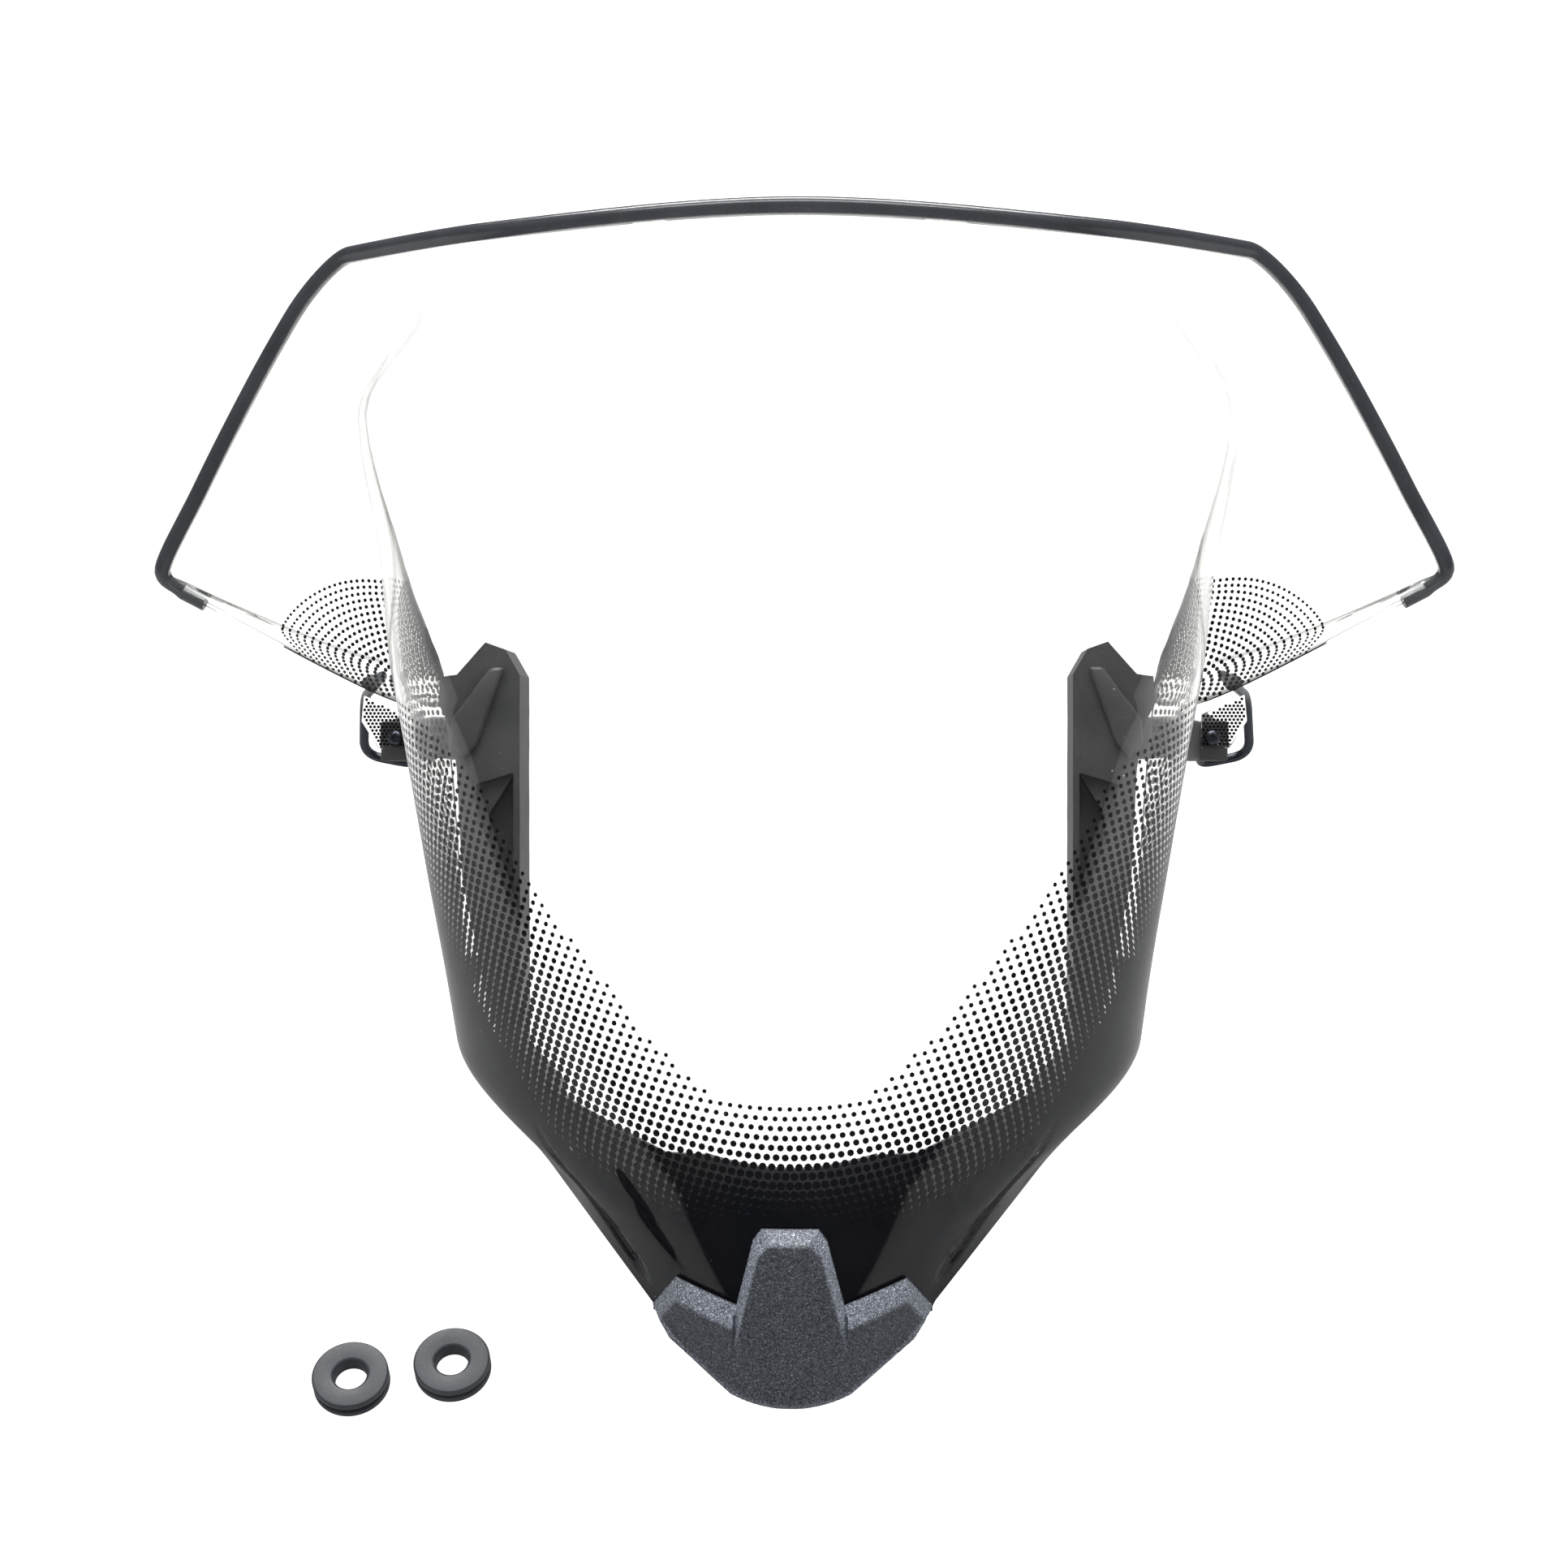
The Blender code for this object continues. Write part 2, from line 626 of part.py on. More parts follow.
def build_bracket(side, sign):
    """The bracket that reaches round the sheet's rear edge to the wire stay."""
    name = f"stay_bracket_{side}"
    mesh = prism(name, [(sign * x, depth) for x, depth in BRACKET_OUTLINE], *BRACKET_UP)
    # The prism is drawn in x and depth, so it is turned to stand on the face plane.
    mesh.transform(Matrix(((1, 0, 0, 0), (0, 0, -1, 0), (0, -1, 0, 0), (0, 0, 0, 1))))
    bracket = add_part(name, mesh, "frame_plastic")
    x, up = BRACKET_SCREW
    place = at(sign * x, up, BRACKET_SEAT)
    boolean(bracket, bore(f"bracket_hole_{side}", place, ALONG_DEPTH, HOLE_R, 0.06))
    place = at(sign * x, up, BRACKET_SEAT + GAP)
    bolt(f"bracket_screw_{side}", place, FROM_BEHIND, BRACKET_SCREW_L)


# The wire stay's route on the face plane, from the bracket to the wing clip.
WIRE_ROUTE = [
    (0.2500, 0.3420, 0.3125), (0.2475, 0.3343, 0.3365), (0.2795, 0.3405, 0.3310),
    (0.2735, 0.3760, 0.3000),
]
# The wing clip's (level, column) on the wing, its height and radius, and the straight run of
# the wire into it.
CLIP_PLACE = (ROOT_LEVEL + 0.10, 1.52)
CLIP_T = 0.006
CLIP_R = 0.0065
CLIP_RUN = 0.010
WIRE_START = 0.0012
BEND_R = 0.010


def rounded_route(points, radius):
    """The route with each corner replaced by an arc-like run of five points."""
    route = [points[0]]
    for before, corner, after in zip(points, points[1:], points[2:]):
        back = (before - corner).normalized()
        ahead = (after - corner).normalized()
        reach = min(radius, (before - corner).length * 0.45, (after - corner).length * 0.45)
        start = corner + back * reach
        end = corner + ahead * reach
        for k in range(5):
            f = k / 4
            route.append(start.lerp(corner, f).lerp(corner.lerp(end, f), f))
    route.append(points[-1])
    return route


def build_stay(side, sign):
    """The bent wire under the wing, and the clip that holds its end to the wing's lip."""
    normal = at(*sheet_normal(*CLIP_PLACE))
    surface = at(*sheet_place(*CLIP_PLACE))
    clip_foot = surface - normal * (SHEET_T + 2 * GAP)
    clip_end = clip_foot - normal * CLIP_T
    mirror = Vector((sign, 1, 1))
    turned(
        f"wing_clip_{side}",
        [(0, CLIP_T), (CLIP_R * 0.6, CLIP_T), (CLIP_R, CLIP_T * 0.45), (CLIP_R, 0), (0, 0)],
        "frame_plastic",
        clip_foot * mirror,
        -normal * mirror,
    )
    points = [at(*place) for place in WIRE_ROUTE]
    points[0] += at(0, 0, WIRE_START)
    points += [clip_end - normal * CLIP_RUN, clip_end - normal * GAP]
    curve = bpy.data.curves.new(f"wire_stay_{side}", "CURVE")
    curve.dimensions = "3D"
    curve.bevel_depth = WIRE_R
    curve.bevel_resolution = 2
    curve.use_fill_caps = True
    spline = curve.splines.new("POLY")
    route = [point * mirror for point in rounded_route(points, BEND_R)]
    spline.points.add(len(route) - 1)
    for point, place in zip(spline.points, route):
        point.co = (*place, 1)
    wire = bpy.data.objects.new(f"wire_stay_{side}", curve)
    curve.materials.append(material(wire.name, "wire_steel"))
    wire.parent = FACE_PLANE
    PARTS.objects.link(wire)


TAB_OUTLINE = [(0.241, 0.364), (0.267, 0.376), (0.2685, 0.360), (0.258, 0.3435), (0.241, 0.3435)]
TAB_DEPTH = 0.2605
TAB_RIVET = (0.2475, 0.350)
RIVET_L = 0.020


def build_tab(side, sign):
    """The small clear tab beside the stay, riveted to the bracket."""
    name = f"side_tab_{side}"
    outline = mirror_outline(TAB_OUTLINE, sign)
    tab = add_part(name, prism(name, outline, TAB_DEPTH, TAB_DEPTH + SHEET_T), "clear")
    x, up = TAB_RIVET
    place = at(sign * x, up, TAB_DEPTH)
    hole = bore(f"tab_hole_{side}", place, ALONG_DEPTH, HOLE_R, 0.05)
    boolean(tab, hole)
    boolean(bpy.data.objects[f"stay_bracket_{side}"], hole)
    place = at(sign * x, up, TAB_DEPTH - GAP)
    bolt(f"tab_rivet_{side}", place, ALONG_DEPTH, RIVET_L, head=0.0045)


# The bonded pad between an arm and the side wall: its level and depth, and where the arm's
# side face is.
PAD_LEVEL = 2.45
PAD_DEPTH = 0.128
PAD_FOOT = 0.178
PAD_R = 0.008
PAD_CLEARANCE = 0.0035


def wall_inside(t, depth):
    """(x, up) on the inside of the side wall at level t, at the given depth."""
    low, high = 0.5, 1.0
    for _ in range(30):
        middle = (low + high) / 2
        if body_place(t, middle).z < depth:
            low = middle
        else:
            high = middle
    place = body_place(t, high)
    return place.x - SHEET_T, place.y


def build_pad(side, sign):
    """The pad between an arm and the wall beside it."""
    wall, up = wall_inside(PAD_LEVEL, PAD_DEPTH)
    length = wall - PAD_FOOT - PAD_CLEARANCE
    profile = [(0, length), (PAD_R * 0.9, length), (PAD_R, 0), (0, 0)]
    place = at(sign * (PAD_FOOT + GAP), up, PAD_DEPTH)
    turned(f"wall_pad_{side}", profile, "soft_rubber", place, (sign, 0, 0))


# The two loose rubber grommets on the ground beside the nose: x, and y behind the nose.
GROMMETS = [("grommet_1", -0.229, 0.017), ("grommet_2", -0.177, 0.026)]
GROMMET_R = 0.020
GROMMET_HOLE = 0.0085
GROMMET_H = 0.010
GROMMET_STEPS = 28
GROOVE_R = 0.0150


def build_grommet(name, x, y):
    """One loose grommet, with a groove round it and a bevelled hole."""
    rim = 0.0012
    flange = GROMMET_H * 0.36
    profile = [
        (GROMMET_HOLE + rim, GROMMET_H), (GROMMET_R - rim, GROMMET_H), (GROMMET_R, GROMMET_H - rim),
        (GROMMET_R, GROMMET_H - flange), (GROOVE_R, GROMMET_H - flange), (GROOVE_R, flange),
        (GROMMET_R, flange), (GROMMET_R, rim), (GROMMET_R - rim, 0), (GROMMET_HOLE + rim, 0),
        (GROMMET_HOLE, rim), (GROMMET_HOLE, GROMMET_H - rim),
    ]
    place = (x, y - NOSE_AHEAD, 0)
    turned(name, profile, "soft_rubber", place, (0, 0, 1), steps=GROMMET_STEPS, parent=None)


build_screen()
build_trim()
build_nose_cap()
build_nose_clip()
build_bridge()
for side_name, side_sign in SIDES:
    build_arm(side_name, side_sign)
    build_bracket(side_name, side_sign)
    build_stay(side_name, side_sign)
    build_tab(side_name, side_sign)
    build_pad(side_name, side_sign)
for grommet in GROMMETS:
    build_grommet(*grommet)
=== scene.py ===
"""The looks of the wrap-around windshield screen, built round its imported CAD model.

Metres, +Z up, the front faces -Y. As in the CAD, most of it is laid out on the face plane,
which leans back from the nose by 45 degrees. A place there is (x, up the face, depth behind
the face). The screen's surface is a rule over two numbers: t, the level from its bottom edge
to its top edge, and c, 0 on the middle line, 1 on the side line, 2 on a wing's outer edge.
"""

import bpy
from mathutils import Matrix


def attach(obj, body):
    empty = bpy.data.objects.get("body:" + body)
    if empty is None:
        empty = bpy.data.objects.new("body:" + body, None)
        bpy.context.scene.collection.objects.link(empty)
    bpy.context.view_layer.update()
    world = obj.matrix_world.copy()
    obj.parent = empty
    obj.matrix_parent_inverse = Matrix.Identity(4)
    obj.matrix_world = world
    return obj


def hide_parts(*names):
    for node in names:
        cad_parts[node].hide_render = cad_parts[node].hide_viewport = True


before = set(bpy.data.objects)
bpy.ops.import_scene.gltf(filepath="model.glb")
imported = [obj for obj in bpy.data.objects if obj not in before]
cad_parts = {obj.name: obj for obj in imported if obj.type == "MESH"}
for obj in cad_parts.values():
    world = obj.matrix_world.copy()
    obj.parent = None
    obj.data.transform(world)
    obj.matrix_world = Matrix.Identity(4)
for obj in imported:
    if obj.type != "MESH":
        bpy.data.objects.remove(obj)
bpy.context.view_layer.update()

import math

import bmesh
import bpy
import numpy as np
from mathutils import Matrix, Vector
from mathutils.bvhtree import BVHTree

# The shape, as the CAD has it

K = math.sqrt(0.5)
LIFT = 0.0045
NOSE_AHEAD = 0.267
GAP = 0.0003
SHEET_T = 0.003
TRIM_R = 0.0043

LEVELS = [
    dict(centre=(0.009, 0.004), side=(0.071, 0.044, 0.040), turn=42, pull=(0.024, 0.030, 0.024)),
    dict(centre=(0.056, -0.004), side=(0.1335, 0.111, 0.102), turn=66, pull=(0.055, 0.055, 0.010)),
    dict(centre=(0.105, -0.010), side=(0.195, 0.178, 0.165), turn=90, pull=(0.085, 0.085, 0)),
    dict(centre=(0.225, -0.018), side=(0.199, 0.280, 0.167), turn=108, pull=(0.120, 0.120, 0)),
    dict(centre=(0.330, -0.020), side=(0.208, 0.383, 0.170), turn=117, pull=(0.150, 0.125, 0)),
    dict(centre=(0.352, -0.020), side=(0.2155, 0.405, 0.168), turn=112, pull=(0.150, 0.125, 0)),
    dict(centre=(0.430, -0.015), side=(0.2315, 0.450, 0.160), turn=98, pull=(0.150, 0.120, 0)),
    dict(centre=(0.528, -0.004), side=(0.245, 0.524, 0.120), turn=85, pull=(0.120, 0.090, 0)),
    dict(centre=(0.622, 0.012), side=(0.170, 0.6185, 0.062), turn=30, pull=(0.060, 0.055, 0)),
]
ROOT = 4
TOP = len(LEVELS) - 1
WING = [
    dict(edge=(0.3665, 0.4345, 0.212), heading=(0.89, 0.45, -0.02), pull=(0.025, 0.100, 0.045)),
    dict(edge=(0.3768, 0.4462, 0.204), heading=(0.91, 0.40, 0.00), pull=(0.022, 0.090, 0.036)),
    dict(edge=(0.3500, 0.4945, 0.188), heading=(1.0, 0.30, 0.10), pull=(0.020, 0.060, 0.004)),
    dict(edge=(0.3090, 0.5615, 0.165), heading=(1.0, 0.10, 0.35), pull=(0.022, 0.030, 0)),
    dict(edge=(0.2680, 0.6190, 0.140), heading=(0.8, -0.02, 0.60), pull=(0.030, 0.040, 0)),
]
CORNER_CUT = 0.16
CORNER_LEVEL = 7.45

# The sampling of the fine sheet: rows in each level, columns of the body and of the wing.
ROWS = [14, 16, 20, 12, 14, 34, 12, 16]
BODY_COLUMNS = 88
WING_COLUMNS = 30


def through(values, t):
    """A smooth curve through rows of numbers, one row at each whole t, at all of an array."""
    values = np.asarray(values, float)
    step = np.diff(values, axis=0)
    both = step[1:] * step[:-1]
    total = np.where(both > 0, step[1:] + step[:-1], 1)
    slopes = np.vstack([step[:1], np.where(both > 0, 2 * both / total, 0), step[-1:]])
    i = np.clip(t.astype(int), 0, len(values) - 2)
    f = (t - i)[:, None]
    return (
        values[i] * (2 * f**3 - 3 * f**2 + 1)
        + values[i + 1] * (3 * f**2 - 2 * f**3)
        + slopes[i] * (f**3 - 2 * f**2 + f)
        + slopes[i + 1] * (f**3 - f**2)
    )


def bezier(p, q, r, s, t):
    t = t[:, None]
    u = 1 - t
    return p * u**3 + q * (3 * u * u * t) + r * (3 * u * t * t) + s * t**3


def run_along(places):
    """How far each of a row of places lies from the first, along the row."""
    return np.concatenate([[0], np.cumsum(np.linalg.norm(np.diff(places, axis=0), axis=1))])


def level_values(name, t):
    return through([level[name] for level in LEVELS], t)


def side_line(t):
    turn = np.radians(through([[level["turn"]] for level in LEVELS], t)[:, 0])
    heading = np.stack([np.cos(turn), np.zeros_like(turn), np.sin(turn)], axis=1)
    return level_values("side", t), heading


def body_places(t, s):
    middle = np.zeros((len(t), 3))
    middle[:, 1:] = level_values("centre", t)
    side, heading = side_line(t)
    pull = level_values("pull", t)
    after = middle.copy()
    after[:, 0] += pull[:, 0]
    before = side - heading * pull[:, 1:2]
    before[:, 1] -= pull[:, 2]
    return bezier(middle, after, before, side, s)


def wing_places(t, s):
    w = t - ROOT
    side, heading = side_line(t)
    edge = through([station["edge"] for station in WING], w)
    arrive = through([station["heading"] for station in WING], w)
    arrive /= np.linalg.norm(arrive, axis=1)[:, None]
    pull = through([station["pull"] for station in WING], w)
    after = side + heading * pull[:, 0:1]
    after[:, 1] -= pull[:, 2]
    return bezier(side, after, edge - arrive * pull[:, 1:2], edge, s)


def right_places(t, c):
    """(x, up, depth) on the right half of the outer face."""
    body = body_places(t, np.minimum(c, 1))
    wing = wing_places(np.maximum(t, ROOT), np.clip(c - 1, 0, 1))
    return np.where((c <= 1)[:, None], body, wing)


def right_normals(t, c):
    step = 0.004
    low_t = np.maximum(t - step, -0.3)
    high_t = np.minimum(t + step, TOP)
    low_t = np.where((c > 1) & (low_t < ROOT), ROOT, low_t)
    low_c = np.maximum(c - step, 0)
    high_c = np.minimum(c + step, 2)
    across_fold = (low_c < 1) & (high_c > 1)
    low_c = np.where(across_fold & (t >= ROOT), 1, low_c)
    high_c = np.where(across_fold & (t < ROOT), 1, high_c)
    upward = right_places(high_t, c) - right_places(low_t, c)
    across = right_places(t, high_c) - right_places(t, low_c)
    normal = np.cross(upward, across)
    return normal / np.linalg.norm(normal, axis=1)[:, None]


def to_world(places):
    x, up, depth = np.asarray(places, float).T
    return np.stack([x, (up + depth) * K - NOSE_AHEAD, (up - depth) * K + LIFT], axis=1)


def world_direction(directions):
    x, up, depth = np.asarray(directions, float).T
    return np.stack([x, (up + depth) * K, (up - depth) * K], axis=1)


def at(x, up, depth):
    return Vector(to_world([(x, up, depth)])[0])


# The long teardrop pressed into each side of the lower body: its line, half width and depth.
TEARDROP = [(1.98, 0.55), (1.55, 0.60), (1.15, 0.655), (0.85, 0.675), (0.66, 0.685)]
TEARDROP_WIDTH = 0.0062
TEARDROP_DEPTH = 0.0022
TEARDROP_EDGE = 0.0030
# The rib where each wing's lower lip is folded.
CREASE_LEVEL = 5.0
CREASE_RISE = 0.0015
CREASE_WIDTH = 0.0024


def pressed_depth(t, c):
    """How far the sheet is pressed in at each (t, c): by the teardrop, less the wing's rib."""
    line = np.array(TEARDROP)
    spots = right_places(line[:, 0], line[:, 1])
    places = right_places(t, c)
    depth = np.zeros(len(t))
    share = np.linspace(0, 1, len(spots))
    for k in range(len(spots) - 1):
        run = spots[k + 1] - spots[k]
        along = np.clip(((places - spots[k]) @ run) / (run @ run), 0, 1)
        away = np.linalg.norm(places - spots[k] - along[:, None] * run, axis=1)
        reach = share[k] + (share[k + 1] - share[k]) * along
        half = TEARDROP_WIDTH * reach**0.7
        f = np.clip((half - away) / TEARDROP_EDGE + 0.5, 0, 1)
        depth = np.maximum(depth, TEARDROP_DEPTH * f * f * (3 - 2 * f) * np.minimum(1, reach * 4))
    away = np.where(t < CREASE_LEVEL, (CREASE_LEVEL - t) * 0.015, (t - CREASE_LEVEL) * 0.050)
    fade = np.clip((c - 1.30) / 0.25, 0, 1) * np.clip((1.97 - c) / 0.10, 0, 1)
    return depth - CREASE_RISE * np.exp(-((away / CREASE_WIDTH) ** 2)) * fade


def surface(t, c, setback=0.0):
    """World places and outward directions at levels t and signed columns c, setback inside."""
    t = np.asarray(t, float)
    c = np.asarray(c, float)
    side = np.where(c < 0, -1.0, 1.0)
    reach = np.abs(c)
    places = right_places(t, reach)
    normals = right_normals(t, reach)
    normals[reach == 0, 0] = 0
    places = places - normals * (setback + pressed_depth(t, reach))[:, None]
    places[:, 0] *= side
    normals[:, 0] *= side
    return to_world(places), world_direction(normals)


def corner_scale(t):
    if t <= CORNER_LEVEL:
        return 1.0
    reach = (t - CORNER_LEVEL) / (TOP - CORNER_LEVEL)
    return 1 - CORNER_CUT * (1 - math.sqrt(max(0.0, 1 - reach * reach)))


def row_levels(rows=ROWS):
    levels = []
    for level, count in enumerate(rows):
        for k in range(count):
            f = k / count
            if level == TOP - 1:
                f = math.sin(f * math.pi / 2)
            levels.append(level + f)
    return levels + [float(TOP)]


def columns_at(t, body=BODY_COLUMNS, wing=WING_COLUMNS):
    columns = [k / body for k in range(body + 1)]
    if t >= ROOT:
        scale = corner_scale(t)
        columns += [1 + scale * k / wing for k in range(1, wing + 1)]
    return columns


# Making pieces

SIDES = (("left", -1), ("right", 1))


def piece(name, mesh, finish, body="screen", replaces=(), smooth=35):
    """A finished piece: its mesh smoothed, its finish set if one is given, riding on its body."""
    obj = bpy.data.objects.new(name, mesh)
    bpy.context.scene.collection.objects.link(obj)
    if finish is not None:
        mesh.materials.clear()
        mesh.materials.append(finish)
    mesh.shade_smooth()
    mesh.set_sharp_from_angle(angle=math.radians(smooth))
    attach(obj, body)
    if replaces:
        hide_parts(*replaces)


def mesh_of(form, name):
    mesh = bpy.data.meshes.new(name)
    form.to_mesh(mesh)
    form.free()
    return mesh


def evaluated_mesh(obj):
    """The object's mesh with its modifiers applied."""
    bpy.context.view_layer.update()
    graph = bpy.context.evaluated_depsgraph_get()
    return bpy.data.meshes.new_from_object(obj.evaluated_get(graph))


def settled(obj, name):
    """The object's mesh with its modifiers applied, and the object gone."""
    mesh = evaluated_mesh(obj)
    mesh.transform(obj.matrix_world)
    mesh.name = name
    bpy.data.objects.remove(obj, do_unlink=True)
    return mesh


def working(name, mesh):
    """An object to work on, which settled() turns back into a mesh."""
    obj = bpy.data.objects.new(name, mesh)
    bpy.context.scene.collection.objects.link(obj)
    return obj


def skin(t_rows, c_rows, setback):
    """A mesh of the surface: one row of levels and signed columns after another."""
    form = bmesh.new()
    flat_t = np.concatenate([np.broadcast_to(t, len(c)) for t, c in zip(t_rows, c_rows)])
    flat_c = np.concatenate(c_rows)
    places, _ = surface(flat_t, flat_c, setback)
    rows = []
    start = 0
    for c in c_rows:
        rows.append([form.verts.new(place) for place in places[start : start + len(c)]])
        start += len(c)
    for below, above in zip(rows, rows[1:]):
        shift = (len(above) - len(below)) // 2
        for k in range(len(below) - 1):
            a, b = (k, k + shift) if shift > 0 else (k, k)
            form.faces.new((below[a], below[a + 1], above[b + 1], above[b]))
    return form


def thick(form, name, thickness, rim=0):
    """A closed wall made from an open skin, thickened inwards. Its rim has the finish at rim."""
    obj = working(name, mesh_of(form, name))
    wall = obj.modifiers.new("wall", "SOLIDIFY")
    wall.thickness = thickness
    wall.offset = -1
    wall.use_even_offset = True
    wall.material_offset_rim = rim
    return settled(obj, name)


def join_rings(form, first, second):
    for i in range(len(first)):
        j = (i + 1) % len(first)
        form.faces.new((first[i], first[j], second[j], second[i]))


def solid_between(front, back):
    """A closed form between two outlines with as many places each."""
    form = bmesh.new()
    front = [form.verts.new(place) for place in front]
    back = [form.verts.new(place) for place in back]
    form.faces.new(front)
    form.faces.new(back[::-1])
    join_rings(form, back, front)
    bmesh.ops.recalc_face_normals(form, faces=form.faces)
    return form


def prism_form(outline, low, high):
    """A closed form: an outline of (x, up) points drawn through the depths low to high."""
    return solid_between([at(x, up, low) for x, up in outline], [at(x, up, high) for x, up in outline])


def mirrored_outline(outline, sign):
    return [(x * sign, up) for x, up in outline]


def both_halves(right):
    """A whole outline from its right half."""
    return right + mirrored_outline(right[::-1], -1)


def cut(obj, cutter_mesh, operation="DIFFERENCE"):
    """Takes the cutter's shape out of the object, or with INTERSECT keeps only what is inside it."""
    cutter = working("cutter", cutter_mesh)
    modifier = obj.modifiers.new("cut", "BOOLEAN")
    modifier.operation = operation
    modifier.object = cutter
    mesh = evaluated_mesh(obj)
    obj.modifiers.clear()
    obj.data = mesh
    bpy.data.objects.remove(cutter, do_unlink=True)


def rounded(obj, width, segments=3, angle=30):
    edges = obj.modifiers.new("edges", "BEVEL")
    edges.width = width
    edges.segments = segments
    edges.limit_method = "ANGLE"
    edges.angle_limit = math.radians(angle)


def turned_mesh(name, profile, place, axis, steps=48):
    """A closed turned mesh. Its (radius, height) points start and end on the axis, or join up."""
    form = bmesh.new()
    rings = []
    for radius, height in profile:
        if radius < 1e-7:
            rings.append([form.verts.new((0, 0, height))])
            continue
        turn = [2 * math.pi * k / steps for k in range(steps)]
        rings.append([form.verts.new((radius * math.cos(a), radius * math.sin(a), height)) for a in turn])
    closed = len(rings[0]) > 1
    pairs = list(zip(rings, rings[1:])) + ([(rings[-1], rings[0])] if closed else [])
    for a, b in pairs:
        for k in range(steps):
            j = (k + 1) % steps
            if len(a) == 1:
                form.faces.new((a[0], b[j], b[k]))
            elif len(b) == 1:
                form.faces.new((a[k], a[j], b[0]))
            else:
                form.faces.new((a[k], a[j], b[j], b[k]))
    bmesh.ops.recalc_face_normals(form, faces=form.faces)
    turn = Vector(axis).to_track_quat("Z", "Y").to_matrix().to_4x4()
    bmesh.ops.transform(form, verts=form.verts, matrix=Matrix.Translation(place) @ turn)
    return mesh_of(form, name)


def arc_points(centre, radius, start, end, count):
    """Points on an arc of a profile, in degrees."""
    turn = [math.radians(start + (end - start) * k / (count - 1)) for k in range(count)]
    return [(centre[0] + radius * math.cos(a), centre[1] + radius * math.sin(a)) for a in turn]


# Shader helpers


class Nodes:
    """A short way to write a node tree."""

    def __init__(self, tree):
        self.tree = tree

    def feed(self, node, values):
        """Links each of the node's inputs to the socket given for it, or else sets its value."""
        for key, value in values.items():
            if isinstance(value, bpy.types.NodeSocket):
                self.tree.links.new(value, node.inputs[key])
            else:
                node.inputs[key].default_value = value

    def add(self, kind, **settings):
        node = self.tree.nodes.new(kind)
        inputs = settings.pop("inputs", {})
        for key, value in settings.items():
            setattr(node, key, value)
        self.feed(node, inputs)
        return node

    def math(self, operation, a, b=0.0):
        return self.add("ShaderNodeMath", operation=operation, inputs={0: a, 1: b}).outputs[0]

    def ramp(self, value, low, high):
        node = self.add("ShaderNodeMapRange", inputs={"Value": value, "From Min": low, "From Max": high})
        return node.outputs[0]

    def mix(self, factor, a, b):
        """One of two colours, or between them. Each is a socket or (red, green, blue)."""
        a, b = [(*colour, 1) if isinstance(colour, tuple) else colour for colour in (a, b)]
        return self.add("ShaderNodeMix", data_type="RGBA", inputs={0: factor, 6: a, 7: b}).outputs[2]

    def noise(self, coords, scale, detail=2.0, rough=0.5):
        inputs = {"Vector": coords, "Scale": scale, "Detail": detail, "Roughness": rough}
        return self.add("ShaderNodeTexNoise", inputs=inputs).outputs[0]


def group(name, inputs, outputs):
    """A new shader group, and what its inputs give and its outputs take."""
    tree = bpy.data.node_groups.new(name, "ShaderNodeTree")
    for label, kind, value in inputs:
        socket = tree.interface.new_socket(name=label, in_out="INPUT", socket_type=kind)
        if value is not None:
            socket.default_value = value
    for label, kind in outputs:
        tree.interface.new_socket(name=label, in_out="OUTPUT", socket_type=kind)
    nodes = Nodes(tree)
    return tree, nodes, nodes.add("NodeGroupInput").outputs, nodes.add("NodeGroupOutput").inputs


def make_grain_group():
    """Fine moulded grain: its height, and a mask of the grains that get a painted glint, as if they caught
    the light.
    """
    tree, n, given, out = group(
        "moulded_grain",
        [("Coords", "NodeSocketVector", None), ("Grain Size", "NodeSocketFloat", 0.0006),
         ("Flecks", "NodeSocketFloat", 0.5)],
        [("Height", "NodeSocketFloat"), ("Painted Glint", "NodeSocketFloat"), ("Cloud", "NodeSocketFloat")],
    )
    scale = n.math("DIVIDE", 1.0, given["Grain Size"])
    fine = n.noise(given["Coords"], scale, 3.0, 0.7)
    broad = n.noise(given["Coords"], 26.0, 3.0)
    sharp = n.noise(given["Coords"], n.math("MULTIPLY", scale, 1.7), 1.0)
    edge = n.math("SUBTRACT", 0.74, n.math("MULTIPLY", given["Flecks"], 0.16))
    glint = n.ramp(sharp, edge, n.math("ADD", edge, 0.05))
    n.tree.links.new(fine, out["Height"])
    n.tree.links.new(glint, out["Painted Glint"])
    n.tree.links.new(n.ramp(broad, 0.3, 0.7), out["Cloud"])
    return tree


def make_dust_group():
    """Sparse white dust specks and short hairs."""
    tree, n, given, out = group(
        "dust",
        [("Coords", "NodeSocketVector", None), ("Speck Spacing", "NodeSocketFloat", 0.006),
         ("Amount", "NodeSocketFloat", 0.5)],
        [("Mask", "NodeSocketFloat")],
    )
    scale = n.math("DIVIDE", 1.0, given["Speck Spacing"])
    cells = n.add("ShaderNodeTexVoronoi", inputs={"Vector": given["Coords"], "Scale": scale})
    pick = n.add("ShaderNodeSeparateColor", inputs={0: cells.outputs["Color"]})
    size = n.math("MULTIPLY", n.ramp(pick.outputs[0], 0.6, 1.0), 0.10)
    speck = n.math("LESS_THAN", cells.outputs["Distance"], n.math("MULTIPLY", size, given["Amount"]))
    patch = n.ramp(n.noise(given["Coords"], 38.0, 2.0), 0.45, 0.6)
    n.tree.links.new(n.math("MULTIPLY", speck, patch), out["Mask"])
    return tree


def new_material(name):
    material = bpy.data.materials.new(name)
    material.use_nodes = True
    n = Nodes(material.node_tree)
    shader = material.node_tree.nodes["Principled BSDF"]
    coords = n.add("ShaderNodeTexCoord").outputs["Object"]
    return material, n, shader, coords


